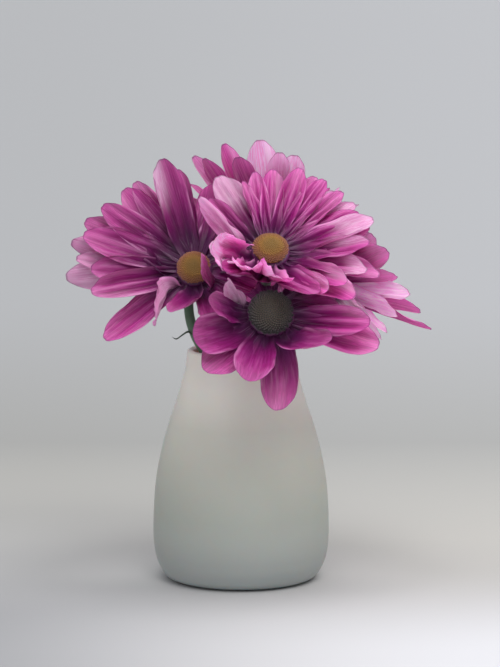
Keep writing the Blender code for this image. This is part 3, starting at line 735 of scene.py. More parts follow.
def outline(s, tip):
    """Half-width of a petal, as a share of its widest, from its narrow claw at 0 to its tip at 1."""
    if s < WIDEST:
        return CLAW + (1.0 - CLAW) * math.sin(math.pi / 2 * s / WIDEST)
    return max(0.0, 1.0 - ((s - WIDEST) / (1.0 - WIDEST)) ** tip) ** TIP_ROUND


def spine(petal, s):
    """A petal's middle point at s, and the directions across it and off it, in its head's frame."""
    length = petal["length"]
    step = s * length / PETAL_STEPS
    radius, height, angle = petal["start"], petal["root"], 0.0
    for i in range(PETAL_STEPS):
        middle = s * (i + 0.5) / PETAL_STEPS
        turn = max(0.0, min(1.0, (middle * length - ROOT_INSET) / BEND_LENGTH))
        tip = max(0.0, (middle - TIP_START) / (1.0 - TIP_START))
        angle = petal["rise"] * turn + petal["bend"] * middle + petal["curl"] * tip * tip
        radius += math.cos(math.radians(angle)) * step
        height += math.sin(math.radians(angle)) * step
    turned_by = min(1.0, s / TWIST_END)
    rolled = math.radians(petal["twist"]) * turned_by * turned_by * (3.0 - 2.0 * turned_by)
    slope = math.radians(angle)
    inward = Vector((-math.sin(slope), 0.0, math.cos(slope)))
    side = Vector((0.0, math.cos(rolled), 0.0)) + inward * math.sin(rolled)
    normal = inward * math.cos(rolled) - Vector((0.0, math.sin(rolled), 0.0))
    return Vector((radius, petal["sweep"] * length * s * s, height)), side, normal


def petal_point(petal, s, t):
    """A point of a petal in its head's frame: s runs along it and t across it."""
    centre, side, normal = spine(petal, s)
    half = petal["width"] / 2 * outline(s, petal["tip"])
    trough = petal["cup"] * (1.0 - 0.6 * s) * half * t * t
    return centre + side * (half * t) + normal * trough


def petal_place(head, petal):
    """Turns a petal of the head's frame to its clock angle. The result is in millimetres."""
    right, up, facing = head_axes(head)
    clock = math.radians(petal["clock"])
    outward = up * math.cos(clock) + right * math.sin(clock)
    matrix = Matrix((outward, facing.cross(outward), facing)).transposed().to_4x4()
    matrix.translation = Vector(head["centre"])
    return matrix


print("a petal is widest at", WIDEST, "of its length")

# %% [markdown]
# ## Stems
# A stem stands straight in the vase, leans on its mouth, and turns in one smooth bend to the back of its
# head. The line comes first, because petals keep clear of it.

# %% Stem lines
STEM_RADIUS = 1.9
STEM_PULL = 0.45
STEM_BEND_STEPS = 8
NECK_HEIGHT = -10.4


def stem_line(head, bend_steps=STEM_BEND_STEPS, foot_steps=2):
    """Points up a stem: straight from its foot to the mouth, then one bend to the back of its head."""
    mouth = Vector((*head["mouth"], VASE_HEIGHT))
    slope = math.dist(head["foot"], head["mouth"]) / (VASE_HEIGHT - FLOOR_Z)
    foot = Vector((*head["foot"], FLOOR_Z + WATER_GAP + STEM_RADIUS * slope))
    facing = Vector(head["axis"]).normalized()
    neck = Vector(head["centre"]) + facing * NECK_HEIGHT
    along = (mouth - foot).normalized()
    reach = (neck - mouth).length
    second = mouth + along * reach * STEM_PULL + Vector(head["bow"])
    third = neck - facing * reach * STEM_PULL + Vector(head["bow"])
    line = [foot.lerp(mouth, i / foot_steps) for i in range(foot_steps + 1)]
    for i in range(1, bend_steps + 1):
        u = i / bend_steps
        v = 1 - u
        line.append(mouth * v ** 3 + second * 3 * u * v * v + third * 3 * u * u * v + neck * u ** 3)
    return line


print("stem radius in mm:", STEM_RADIUS)

# %% [markdown]
# ## Bending petals clear of each other
# Crowded petals press against their neighbours and give way. Each petal tries its own rise first, then
# leans a little up or down until it touches no other bloom, stem or glass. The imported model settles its
# petals by the same steps in the same order, so both come to the same result.

# %% What a petal keeps clear of
HEAD_CLEARANCE = 11.5
PETAL_CLEARANCE = 1.7
LINES = {name: stem_line(head) for name, head in HEADS.items()}


def vase_radius(height):
    """The outer radius of the vase at a height, or 0 above it."""
    levels = [(OUTER_WALL[0][0], VASE_HEIGHT)] + list(OUTER_WALL + FOOT)
    for (upper_radius, upper), (lower_radius, lower) in zip(levels, levels[1:]):
        if lower <= height <= upper:
            share = (height - lower) / (upper - lower)
            return lower_radius + (upper_radius - lower_radius) * share
    return 0.0


def distance_to_line(point, line):
    """The least distance from a point to a run of straight pieces."""
    best = math.inf
    for first, second in zip(line, line[1:]):
        run = second - first
        share = max(0.0, min(1.0, (point - first).dot(run) / run.length_squared))
        best = min(best, (first + run * share - point).length)
    return best


def meets_fixed(name, points):
    """Whether a petal's points come too near another head, a stem or the vase."""
    for other, head in HEADS.items():
        line = LINES[other]
        if other == name:
            line = line[:-2]
        elif any((p - Vector(head["centre"])).length < HEAD_CLEARANCE for p in points):
            return True
        if any(distance_to_line(p, line) < STEM_RADIUS + PETAL_CLEARANCE for p in points):
            return True
    return any(
        p.z < VASE_HEIGHT + PETAL_CLEARANCE
        and math.hypot(p.x, p.y) < vase_radius(min(p.z, VASE_HEIGHT)) + PETAL_CLEARANCE
        for p in points
    )


print("petals stay clear of each other by", PETAL_CLEARANCE, "mm")

# %% A coarse net over a petal
PROBE_STATIONS = tuple(i / 9 for i in range(10))
PROBE_ACROSS = (-1.0, -0.5, 0.0, 0.5, 1.0)


def probe(head, petal):
    """A coarse net of points over a petal, in millimetres, and its faces."""
    place = petal_place(head, petal)
    points = [place @ petal_point(petal, s, t) for s in PROBE_STATIONS for t in PROBE_ACROSS]
    wide = len(PROBE_ACROSS)
    faces = [
        (i * wide + j, i * wide + j + 1, (i + 1) * wide + j + 1, (i + 1) * wide + j)
        for i in range(len(PROBE_STATIONS) - 1)
        for j in range(wide - 1)
    ]
    return points, BVHTree.FromPolygons(points, faces)


def meets_petals(points, tree, others):
    """Whether a petal crosses or nearly touches a petal of another head."""
    for other_points, other_tree in others:
        if tree.overlap(other_tree):
            return True
        if any(other_tree.find_nearest(p, PETAL_CLEARANCE)[0] is not None for p in points):
            return True
        if any(tree.find_nearest(p, PETAL_CLEARANCE)[0] is not None for p in other_points):
            return True
    return False


print("points of a net:", len(PROBE_STATIONS) * len(PROBE_ACROSS))

# %% Settle the petals
ROOT_STATIONS = 3
CROSSING_COST = 3
LEANS = (0, 5, -5, 10, -10, 16, -16, 22, -22, 30, -30, 38, -38, 46, -46, 55, -55, -66)
SHRINKS = (1.0, 0.85, 0.7, 0.55, 0.4)
SETTLE_ORDER = ("top", "left", "low", "back", "right")


def settle_petals():
    """Bend every petal clear of the other heads with the least change to its rise, as crowded petals do."""
    wanted = {name: wanted_petals(name, head) for name, head in HEADS.items()}
    settled = {name: [] for name in HEADS}
    nets = {name: [] for name in HEADS}
    order = [(name, i) for name in SETTLE_ORDER for i in range(PLACED_COUNTS[name])]
    order += sorted(
        ((name, i) for name in HEADS for i in range(PLACED_COUNTS[name], len(wanted[name]))),
        key=lambda item: item[1] - PLACED_COUNTS[item[0]],
    )
    for name, i in order:
        petal = wanted[name][i]
        others = [net for other in HEADS if other != name for net in nets[other]]
        for shrink in SHRINKS:
            choices = []
            for lean in LEANS:
                tried = dict(petal, rise=petal["rise"] + lean, length=petal["length"] * shrink)
                points, tree = probe(HEADS[name], tried)
                outer = points[ROOT_STATIONS * len(PROBE_ACROSS):]
                if meets_fixed(name, outer) or meets_petals(points, tree, others):
                    continue
                crossed = sum(bool(tree.overlap(own)) for _, own in nets[name])
                choices.append((abs(lean) + CROSSING_COST * crossed, len(choices), tried, points, tree))
                if not crossed:
                    break
            if choices:
                _, _, tried, points, tree = min(choices)
                settled[name].append(tried)
                nets[name].append((points, tree))
                break
    return settled


PETALS = settle_petals()
print("petals settled:", {name: len(petals) for name, petals in PETALS.items()})

# %% [markdown]
# ## A thin blade as a template
# Petals, bracts and the small leaf are all thin blades. One flat blade is made once: a grid, its copy
# turned over for the underside, and a rim that bridges the two. Each real blade is this template with its
# points moved, so every one is closed, even and carries the same map of how far along and across each
# point lies.

# %% Blade template
FOLD_SHARE = 0.4
UNDER_MARK = 0.6


def blade_template(rows, columns):
    """A flat closed blade, and each point's label: how far along, how far across, and whether under."""
    shape = bmesh.new()
    bmesh.ops.create_grid(shape, x_segments=rows, y_segments=columns, size=0.5)
    upper = shape.verts[:] + shape.edges[:] + shape.faces[:]
    copied = bmesh.ops.duplicate(shape, geom=upper)["geom"]
    under = {v for v in copied if isinstance(v, bmesh.types.BMVert)}
    bmesh.ops.translate(shape, verts=list(under), vec=(0.0, 0.0, -0.1))
    bmesh.ops.reverse_faces(shape, faces=[f for f in copied if isinstance(f, bmesh.types.BMFace)])
    rims = [e for e in shape.edges if e.is_boundary]
    bmesh.ops.bridge_loops(shape, edges=rims)
    for edge in rims:
        edge.smooth = False
    bmesh.ops.recalc_face_normals(shape, faces=shape.faces)
    uv = shape.loops.layers.uv.new("blade")
    shape.verts.layers.float_color.new("blade_data")
    for face in shape.faces:
        for loop in face.loops:
            loop[uv].uv = (loop.vert.co.y + 0.5, loop.vert.co.x + 0.5)
    labels = [(v.co.x + 0.5, v.co.y * 2.0, v in under) for v in shape.verts]
    return kept_mesh("blade_template", shape), labels


def add_blade(shape, template, point_at, data_at):
    """Adds one blade to a shape. point_at and data_at give each point's place and its four numbers.

    The third number holds two things: how high its pleat stands, and a mark for the underside.
    """
    mesh, labels = template
    first = len(shape.verts)
    shape.from_mesh(mesh)
    shape.verts.ensure_lookup_table()
    layer = shape.verts.layers.float_color["blade_data"]
    for vertex, (along, across, below) in zip(shape.verts[first:], labels):
        vertex.co = point_at(along, across, below)
        tone, pale, fold, deep = data_at(along, across)
        vertex[layer] = (tone, pale, FOLD_SHARE * fold + (UNDER_MARK if below else 0.0), deep)


def evenly_marked(mesh, along, data_at):
    """Starts a shape from a mesh that isn't a blade, with one place on the blade's map for all of it."""
    shape = started_from(mesh)
    uv = shape.loops.layers.uv.new("blade")
    layer = shape.verts.layers.float_color.new("blade_data")
    for face in shape.faces:
        for loop in face.loops:
            loop[uv].uv = (0.5, along)
    for vertex in shape.verts:
        vertex[layer] = data_at(vertex.co)
    return shape


PETAL_BLADE = blade_template(32, 20)
print("points on one petal:", len(PETAL_BLADE[1]))

# %% [markdown]
# ## Fine petals
# A real ray petal has two or three lengthwise pleats, a rim that is never quite even, and a tip with a
# small notch. A few petals are crumpled, most of them at the lower left of the top bloom. Many others have
# one rim rolled over, which shows their pale underside. These tables name the petals that differ, by head
# and clock angle. Those of form are for petals placed one by one. Those of shades are for the rule's petals
# too, whose angles count in whole degrees.

# %% What is special about single petals
CRUMPLED = {"left": {232: 1.8}, "top": {192: 1.7, 214: 2.4, 244: 3.0}}
# Which rim is rolled, from where across the petal, and how far round in degrees
ROLLED = {
    "left": {251: (-1, 0.7, 110.0), 318: (-1, 0.72, 110.0), 342: (1, 0.62, 150.0)},
    "top": {
        5: (-1, 0.72, 130.0), 34: (-1, 0.74, 120.0), 47: (-1, 0.74, 120.0), 64: (-1, 0.72, 120.0),
        97: (1, 0.7, 130.0), 116: (1, 0.7, 120.0), 134: (1, 0.72, 110.0), 150: (1, 0.68, 110.0),
        192: (-1, 0.6, 110.0), 244: (-1, 0.62, 125.0),
    },
    "low": {100: (1, 0.72, 100.0), 150: (1, 0.72, 90.0), 290: (1, 0.2, 150.0)},
    "back": {238: (1, 0.9, 0.0), 244: (1, 0.9, 0.0)},
}
# How deep the pleats are, where 1 is PLEAT
PLEATED = {"left": 0.5, "top": 0.9, "low": 0.35, "right": 0.5, "back": 0.5}
PLEATED_MORE = {"left": {251: 1.1}, "top": {150: 1.3, 170: 1.1}, "low": {100: 1.1, 109: 0.8}}
print("rims rolled by hand:", sum(len(rims) for rims in ROLLED.values()))

# %% The shades of single petals, with their painted light and shade
# How much pale pink, partly painted highlight and light from behind, from where along the petal,
# and towards which side
PALE_AND_HIGHLIGHT = {
    "left": {
        130: (0.6, 0.7, 0), 232: (0.55, 0.0, 0), 251: (0.35, 0.35, 1), 266: (0.6, 0.3, 0),
        273: (0.5, 0.3, 0), 281: (0.5, 0.5, 0), 318: (0.3, 0.6, 1), 325: (0.3, 0.6, 0),
        342: (0.85, 0.4, 1),
    },
    "top": {
        5: (0.4, 0.1, -1), 28: (0.3, 0.6, 0), 41: (0.6, 0.5, 0), 56: (0.6, 0.5, 0), 64: (0.35, 0.5, -1),
        78: (0.7, 0.4, 0), 80: (0.35, 0.5, -1), 97: (0.6, 0.35, 1), 109: (0.3, 0.6, 0),
        116: (0.65, 0.55, 0), 134: (0.5, 0.4, 1), 150: (0.5, 0.4, 1), 192: (0.7, 0.5, -1),
        214: (0.5, 0.4, 0), 244: (0.7, 0.4, 0), 250: (0.9, 0.15, 0), 282: (0.55, 0.0, 0),
        336: (0.6, 0.3, 0),
    },
    "low": {100: (0.35, 0.5, 1), 109: (0.3, 0.6, 0), 290: (0.7, 0.0, 0)},
    "right": {
        184: (0.9, 0.0, 0), 197: (0.9, 0.0, 0), 206: (0.0, 0.3, 0), 235: (0.15, 0.3, 0),
        238: (1.0, 0.0, 0), 248: (1.0, 0.0, 0), 254: (1.0, 0.0, 0), 267: (0.3, 0.2, 0),
        270: (1.0, 0.0, 0), 280: (0.35, 0.5, 0), 291: (0.5, 0.3, 0), 297: (0.9, 0.2, 0),
        331: (0.8, 0.3, 0), 344: (0.8, 0.3, 0),
    },
    "back": {
        9: (0.8, 0.0, 0), 21: (0.0, 0.2, 0), 43: (0.4, 0.2, 1), 53: (0.0, 0.2, 0), 64: (0.4, 0.3, 0),
        195: (0.5, 0.3, 0), 238: (0.6, 0.2, 0), 244: (0.7, 0.2, 0), 346: (0.75, 0.0, 0),
        356: (0.6, 0.2, 0),
    },
}
# How far the dark plum reaches up the petal, partly its colour and partly painted shade near the disc,
# with a usual value for each head
DARK_CLAW_AND_SHADE_BY_HEAD = {"left": 0.8, "top": 0.3, "low": 0.42, "right": 0.15, "back": 0.1}
DARK_CLAW_AND_SHADE_BY_PETAL = {
    "left": {
        10: 1.0, 22: 1.0, 90: 0.0, 104: 0.0, 130: 0.0, 150: 0.5, 176: 0.5, 229: 0.4, 251: 0.35, 318: 1.0,
        325: 0.9, 342: 0.9,
    },
    "top": {304: 0.8},
    "low": {244: 0.7, 268: 0.9, 327: 0.0, -1: 0.1},
    "back": {21: 0.8, 53: 0.6},
}
# Painted light and shade: how bright a petal is painted, with a usual value for each head
PAINTED_LIGHT_BY_HEAD = {"left": 0.9, "top": 1.0, "low": 0.8, "right": 1.08, "back": 1.12}
PAINTED_LIGHT_BY_PETAL = {
    "left": {72: 1.2, 90: 1.35, 104: 1.35, 130: 1.15, 229: 1.0, 232: 1.0},
    "top": {
        64: 1.1, 80: 1.12, 97: 1.06, 116: 1.02, 134: 1.08, 150: 1.1, 170: 0.96, 192: 1.2, 214: 1.3,
        244: 1.3, 250: 1.15, 282: 1.2, 336: 0.84,
    },
    "low": {100: 1.05, 104: 1.05, 109: 1.05, 327: 1.3, -1: 1.1},
    "right": {184: 1.25, 197: 1.25, 238: 1.25, 248: 1.25, 254: 1.25, 270: 1.25, 297: 1.2},
    "back": {9: 1.25, 21: 0.95, 43: 1.2, 53: 1.0, 346: 1.15},
}
print("petals with a paler part:", sum(len(shades) for shades in PALE_AND_HIGHLIGHT.values()))

# %% [markdown]
# The blade's last row follows the round tip, so a petal ends in whole faces and not in a fan. Its height
# adds up what the eye sees one by one: the trough, the pleats, the beat of the rim, and small ripples.

# %% Fine petal surface
TIP_CORNER = 0.8
PLEAT = 0.8
PLEAT_SHARPNESS = 0.7
RIM_WAVE = 0.5
RIM_UNEVEN = 0.05
NOTCH = 0.012
RIPPLE = 0.35
CREASE = 0.1
RIM_THICKNESS = 0.2
MIDDLE_THICKNESS = 0.45
SINK = 0.3
SPINE_SAMPLES = 40


def tip_reach(t, tip):
    """How far along the petal the column at t ends, so that the columns end on the round tip."""
    edge = outline(TIP_CORNER, tip) * abs(t)
    reach = WIDEST + (1.0 - WIDEST) * (1.0 - edge ** (1 / TIP_ROUND)) ** (1 / tip)
    middle_notch = NOTCH * math.exp(-(t / 0.14) ** 2)
    side_notches = NOTCH * 0.5 * math.exp(-((abs(t) - 0.55) / 0.12) ** 2)
    return reach - middle_notch - side_notches


def grown(value, low, high):
    """0 below low, 1 above high, and smooth between them."""
    share = max(0.0, min(1.0, (value - low) / (high - low)))
    return share * share * (3.0 - 2.0 * share)


def fine_petal(petal, draw, depth, crumple, rolled):
    """The surface of one petal with its pleats and waves, as a function of the template's labels."""
    frames = [spine(petal, i / SPINE_SAMPLES) for i in range(SPINE_SAMPLES + 1)]
    waves = [(draw.uniform(1.3, 2.6), draw.uniform(0.0, 1.0)) for _ in range(2)]
    shift = draw.uniform(-0.18, 0.18)
    folds = draw.uniform(2.1, 3.3)
    offset = Vector((draw.uniform(0, 50), draw.uniform(0, 50), draw.uniform(0, 50)))
    roll_side, roll_from, roll_turn = rolled
    crushed = crumple - 1.0

    def fold_at(across):
        """1 on a ridge and -1 in a groove of the pleats."""
        fold = math.cos(folds * math.pi * (across + shift * (1 - across * across)))
        return math.copysign(abs(fold) ** PLEAT_SHARPNESS, fold)

    def frame_at(s):
        spot = s * SPINE_SAMPLES
        low = min(int(spot), SPINE_SAMPLES - 1)
        centre, side, normal = (a.lerp(b, spot - low) for a, b in zip(frames[low], frames[low + 1]))
        return centre, side.normalized(), normal.normalized()

    def lift_at(s, x, across):
        """How high the surface stands off the middle line."""
        half = max(petal["width"] / 2 * outline(s, petal["tip"]), 1.0)
        middle = math.sin(math.pi * min(1.0, s / 0.97)) ** 0.6
        lift = petal["cup"] * (1.0 - 0.6 * s) * x * x / half
        lift += PLEAT * depth * middle * (fold_at(across) - 0.4)
        turns, phase = waves[across > 0]
        beat = math.sin(2 * math.pi * (turns * s + phase))
        beat += 0.45 * crushed * math.sin(2 * math.pi * (turns * 3.3 * s + 2 * phase))
        reach = min(1.0, s / 0.35)
        lift += RIM_WAVE * min(crumple, 2.0) * reach * abs(across) ** 3 * beat
        ripple = noise.noise(Vector((x * 0.22, s * 4.0, 0.0)) + offset) * (RIPPLE + 0.8 * crushed)
        crease = noise.noise(Vector((x * 0.6, s * 11.0, 4.0)) + offset) * (CREASE + 0.35 * crushed)
        return lift + (ripple + crease) * (reach * (1.0 - 0.7 * grown(s, 0.85, 1.0)))

    def surface(along, across, below):
        s = along * tip_reach(across, petal["tip"])
        centre, side, normal = frame_at(s)
        wide = petal["width"] / 2 * outline(along * TIP_CORNER, petal["tip"])
        wander = noise.noise(Vector((s * 5.0, 9.0 if across > 0 else 2.0, 0.0)) + offset)
        x = wide * across * (1.0 + RIM_UNEVEN * wander)
        lift = lift_at(s, x, across)
        facing = normal
        beyond = max(0.0, (across * roll_side - roll_from) / (1.0 - roll_from))
        angle = math.radians(roll_turn) * beyond * grown(s, 0.12, 0.4)
        if angle > 0.01:
            radius = wide * (1.0 - roll_from) * beyond / angle
            x = roll_side * (wide * roll_from + radius * math.sin(angle))
            lift += radius * (1.0 - math.cos(angle))
            facing = normal * math.cos(angle) - side * (roll_side * math.sin(angle))
        thick = RIM_THICKNESS + (MIDDLE_THICKNESS - RIM_THICKNESS) * (1 - across * across) * (1 - along)
        drop = SINK + (thick if below else 0.0)
        return centre + side * x + normal * lift - facing * drop

    return surface, fold_at


deepest = max(depth for depths in PLEATED_MORE.values() for depth in depths.values())
print("deepest pleat in mm:", round(PLEAT * deepest, 2))

# %% A head's petals
def receptacle(head):
    """The short plug in the middle that carries a head's petals, in metres, with a rounded upper edge."""
    radius = head["disc"] + 0.6
    profile = [
        (0.0, -0.1), (radius - 1.2, -0.1), (radius - 0.35, -0.3), (radius, -0.9), (radius - 0.2, -4.1),
        (0.0, -4.1),
    ]
    plug = spun(profile, 40, unit=1.0)
    bmesh.ops.transform(plug, matrix=Matrix.Scale(MM, 4) @ head_matrix(head), verts=plug.verts)
    return kept_mesh("receptacle", plug)


def paleness(shade, along, across):
    """How much pale pink a point shows, from the amount, where it starts and on which side it lies."""
    amount, start, side = shade
    sideways = grown(across * side, -0.3, 0.6) if side else 1.0
    return amount * grown(along, start, start + 0.4) * sideways


def make_petals(name, head):
    shape = evenly_marked(receptacle(head), 0.05, lambda place: (PAINTED_LIGHT_BY_HEAD[name], 0.0, 0.2, 1.0))
    draw = random.Random(100 + head["seed"])
    for petal in PETALS[name]:
        clock = petal["clock"]
        crumple = special(CRUMPLED, name, clock, draw.uniform(1.0, 1.25))
        # Pale pink is partly painted highlight, the dark plum partly painted shade, and the tone painted
        # light and shade.
        pale = special(PALE_AND_HIGHLIGHT, name, round(clock), (draw.uniform(0.0, 0.25), 0.5, 0))
        usual_dark_claw_and_shade = DARK_CLAW_AND_SHADE_BY_HEAD[name] + draw.uniform(-0.15, 0.15) if crumple < 1.5 else -1.0
        deep = special(DARK_CLAW_AND_SHADE_BY_PETAL, name, round(clock), usual_dark_claw_and_shade)
        tone = special(PAINTED_LIGHT_BY_PETAL, name, round(clock), PAINTED_LIGHT_BY_HEAD[name]) + draw.uniform(-0.07, 0.07)
        roll = (draw.choice((-1, 1)), draw.uniform(0.66, 0.8), draw.uniform(40, 115) * draw.choice((0, 1)))
        depth = special(PLEATED_MORE, name, clock, PLEATED[name] * draw.uniform(0.6, 1.25))
        surface, fold_at = fine_petal(petal, draw, depth, crumple, special(ROLLED, name, clock, roll))
        place = Matrix.Scale(MM, 4) @ petal_place(head, petal)
        add_blade(shape, PETAL_BLADE, lambda *label: place @ surface(*label),
                  lambda *spot: (tone, paleness(pale, *spot), 0.5 + 0.5 * depth * fold_at(spot[1]), deep))
    bmesh.ops.recalc_face_normals(shape, faces=shape.faces)
    return shape


print("petals in all:", sum(len(petals) for petals in PETALS.values()))

# %% [markdown]
# ## The petals' colour
# Seen close, a petal isn't one pink. It is dark plum at its claw, partly its colour and partly painted
# shade near the disc, with a few pale streaks, magenta along its length, and lighter pink at its rim and
# tip, where the rim is partly a painted highlight. Fine veins run lengthwise, and the underside is a pale,
# dusty pink. Painted shade darkens the grooves of the pleats, a painted highlight lightens their ridges,
# and lighter painted streaks stand for a satin sheen. The blade's own map says where on the petal a point
# lies. The numbers kept on the points say how bright the petal is painted, as painted light and shade, how
# pale it is, partly painted highlight, how high its pleats stand, which face is under, and how far the plum
# reaches, partly as painted shade.

# %% Read a blade's map and numbers
def blade_map(tree):
    """How far a point lies across its blade, how far along it, and how far from its middle line."""
    across, along, _ = axes_of(tree, add(tree, "ShaderNodeUVMap", uv_map="blade").outputs["UV"])
    return across, along, calc(tree, "ABSOLUTE", calc(tree, "MULTIPLY_ADD", across, 2.0, -1.0))


def point_numbers(tree, name):
    """The four numbers that a shape keeps on its points."""
    data = add(tree, "ShaderNodeAttribute", attribute_name=name).outputs
    kept = add(tree, "ShaderNodeSeparateColor", {"Color": data["Color"]}).outputs
    return kept["Red"], kept["Green"], kept["Blue"], data["Alpha"]


print("map and numbers ready")

# %% Petal material
def petal_material():
    material, tree, shader = new_material(
        "petal", Roughness=0.36, Specular_IOR_Level=0.5, Subsurface_Weight=0.3, Subsurface_Scale=0.001,
        Subsurface_Radius=(1.0, 0.4, 0.8),
    )
    across, along, off_middle = blade_map(tree)
    tone, pale, third, deep = point_numbers(tree, "blade_data")
    under = calc(tree, "GREATER_THAN", third, (FOLD_SHARE + UNDER_MARK) / 2)
    fold = times(tree, calc(tree, "MULTIPLY_ADD", under, -UNDER_MARK, third), 1 / FOLD_SHARE)
    seed = times(tree, tone, 90.0)

    def grain(wide, long, detail):
        """Noise that is stretched along the petal."""
        spot = add(tree, "ShaderNodeCombineXYZ", {
            "X": times(tree, across, wide), "Y": times(tree, along, long), "Z": seed,
        }).outputs["Vector"]
        noisy = add(tree, "ShaderNodeTexNoise", {"Vector": spot, "Scale": 1.0, "Detail": detail})
        return noisy.outputs["Fac"]

    def where(value, low, high, then=None, then_low=0.0, then_high=0.0):
        """A mask from one value, or the product of the masks from two."""
        mask = ramp_between(tree, value, low, high)
        return mask if then is None else times(tree, mask, ramp_between(tree, then, then_low, then_high))

    clouds = grain(3.0, 2.5, 2.0)
    streaks = grain(24.0, 2.6, 3.0)
    threads = grain(46.0, 6.5, 2.0)
    veins = where(threads, 0.56, 0.47, clouds, 0.3, 0.6)
    # Painted shade in the grooves of the pleats and a painted highlight on their ridges.
    groove = where(fold, 0.45, 0.1, along, 0.97, 0.75)
    ridge = where(fold, 0.7, 1.0, along, 0.25, 0.6)
    # Painted highlight: lighter streaks that stand for a satin sheen.
    painted_shine = where(streaks, 0.5, 0.32, along, 0.2, 0.7)
    claw = where(grain(15.0, 0.8, 1.0), 0.56, 0.64, along, 0.3, 0.1)
    ruffle = where(deep, -0.2, -0.8, off_middle, 0.6, 0.95)
    # The lighter pink rim is partly the petal's colour and partly painted highlight.
    rim = times(tree, where(off_middle, 0.82, 0.95, clouds, 0.6, 0.42), where(along, 0.2, 0.45))
    line = calc(tree, "MAXIMUM", where(off_middle, 0.965, 0.995), where(along, 0.98, 0.995))
    # Pale pink, partly the petal's colour and partly painted highlight and light from behind.
    pale_and_highlight_mask = where(calc(tree, "MULTIPLY_ADD", streaks, 0.35, pale), 0.22, 1.1)

    # The dark plum near the claw is partly the petal's colour and partly painted shade near the disc.
    reach = calc(tree, "SUBTRACT", calc(tree, "MULTIPLY_ADD", clouds, 0.3, along), 0.15)
    reach = calc(tree, "SUBTRACT", reach, times(tree, calc(tree, "MAXIMUM", deep, 0.0), 0.22))
    upper = colour_ramp(tree, reach, (
        (0.0, srgb(100, 42, 92)), (0.14, srgb(134, 44, 112)), (0.4, srgb(186, 56, 150)),
        (0.7, srgb(216, 80, 176)), (1.0, srgb(240, 124, 208)),
    ))
    dark = mix(tree, 1.0, upper, srgb(196, 132, 176), "MULTIPLY")
    pale_pink = washed(tree, srgb(254, 220, 244), srgb(234, 144, 206), veins, 0.6)
    for colour, mask, amount in (
        (dark, where(streaks, 0.45, 0.7), 0.4), (dark, veins, 0.5), (srgb(255, 158, 228), painted_shine, 0.22),
        (srgb(206, 160, 196), claw, 0.28), (dark, groove, 0.55), (srgb(255, 158, 226), ridge, 0.3),
        (pale_pink, pale_and_highlight_mask, 1.0), (srgb(255, 178, 232), ruffle, 0.6), (srgb(255, 172, 232), rim, 0.65),
        (srgb(126, 42, 110), line, 0.55),
    ):
        upper = washed(tree, upper, colour, mask, amount)

    lower = colour_ramp(tree, along, (
        (0.0, srgb(196, 160, 186)), (0.3, srgb(232, 170, 214)), (1.0, srgb(248, 184, 228)),
    ))
    lower = washed(tree, lower, srgb(212, 116, 184), veins, 0.5)
    # Painted shade in the grooves of the underside too.
    lower = washed(tree, lower, srgb(206, 110, 178), groove, 0.35)
    both = mix(tree, under, upper, lower)
    # The Value is the petal's tone: painted light and shade for its head and for single petals, with a
    # small random spread.
    toned = add(tree, "ShaderNodeHueSaturation", {"Color": both, "Saturation": 1.035, "Value": tone})
    feed(tree, shader.inputs["Base Color"], toned.outputs["Color"])
    bumped(tree, shader, calc(tree, "MULTIPLY_ADD", threads, 0.5, streaks), 0.00025, 0.6)
    return material


PETAL_FINISH = petal_material()
for head_name, head in HEADS.items():
    petals = make_petals(head_name, head)
    hand_over(f"petals_{head_name}", petals, PETAL_FINISH, "petal", f"rays_{head_name}", angle=None)

# %% [markdown]
# ## The discs
# The yellow-green middle of a bloom is hundreds of small florets, packed by the golden angle, each turned
# from the last by 137.5 degrees. Those at the rim open first, into small five-pointed cups; those in the
# middle are closed buds. Two small shapes are made once and copied over a low dome.

# %% Floret shapes
def bud_mesh():
    shape = bmesh.new()
    bmesh.ops.create_uvsphere(shape, u_segments=6, v_segments=4, radius=0.42)
    bmesh.ops.scale(shape, verts=shape.verts, vec=(1.0, 1.0, 1.5))
    return kept_mesh("bud", shape)


def cup_mesh():
    shape = bmesh.new()
    bmesh.ops.create_circle(shape, cap_ends=False, segments=10, radius=0.5)
    rim = shape.verts[:]
    for i, vertex in enumerate(rim):
        vertex.co *= 1.2 if i % 2 else 0.78
        vertex.co.z = 0.62 if i % 2 else 0.42
    for size, height in ((0.5, 0.05), (0.45, -0.7)):
        ring = [e for e in shape.edges if all(v in rim for v in e.verts)]
        made = bmesh.ops.extrude_edge_only(shape, edges=ring)["geom"]
        rim = [v for v in made if isinstance(v, bmesh.types.BMVert)]
        for vertex in rim:
            flat = Vector((vertex.co.x, vertex.co.y, 0.0)).normalized() * 0.5 * size
            vertex.co = Vector((flat.x, flat.y, height))
    bmesh.ops.solidify(shape, geom=shape.faces[:], thickness=0.06)
    bmesh.ops.recalc_face_normals(shape, faces=shape.faces)
    return kept_mesh("cup", shape)


BUD = bud_mesh()
CUP = cup_mesh()
print("faces of a bud and a cup:", len(BUD.polygons), len(CUP.polygons))

# %% [markdown]
# How far the rim florets have opened differs from bloom to bloom. The low bloom is the youngest: its disc
# is a dark grey-green, partly its colour and partly painted shade, as it lies in the shade under the top
# bloom. Each floret keeps a number for its ripeness, with that painted shade, and the material turns
# that into colour.

# %% Pack the florets
OPEN_SHARE = {"left": 0.55, "top": 0.5, "low": 0.12, "right": 0.5, "back": 0.45}
# Ripeness of each disc; the low disc's low number is partly painted shade under the top bloom
RIPENESS_AND_SHADE = {"left": 1.0, "top": 1.0, "low": 0.0, "right": 0.7, "back": 0.7}
GOLDEN_ANGLE = math.radians(137.508)
FLORETS = 320
DISC_DOME = 0.62
DISC_GAP = 0.3
DOME_INSET = 0.55
FLORET_INSET = 0.35
FLORET_SIZE = 0.72
RIM_GROWTH = 0.3
OPEN_RIPER = 0.12
YOUNG_MIDDLE = 0.09


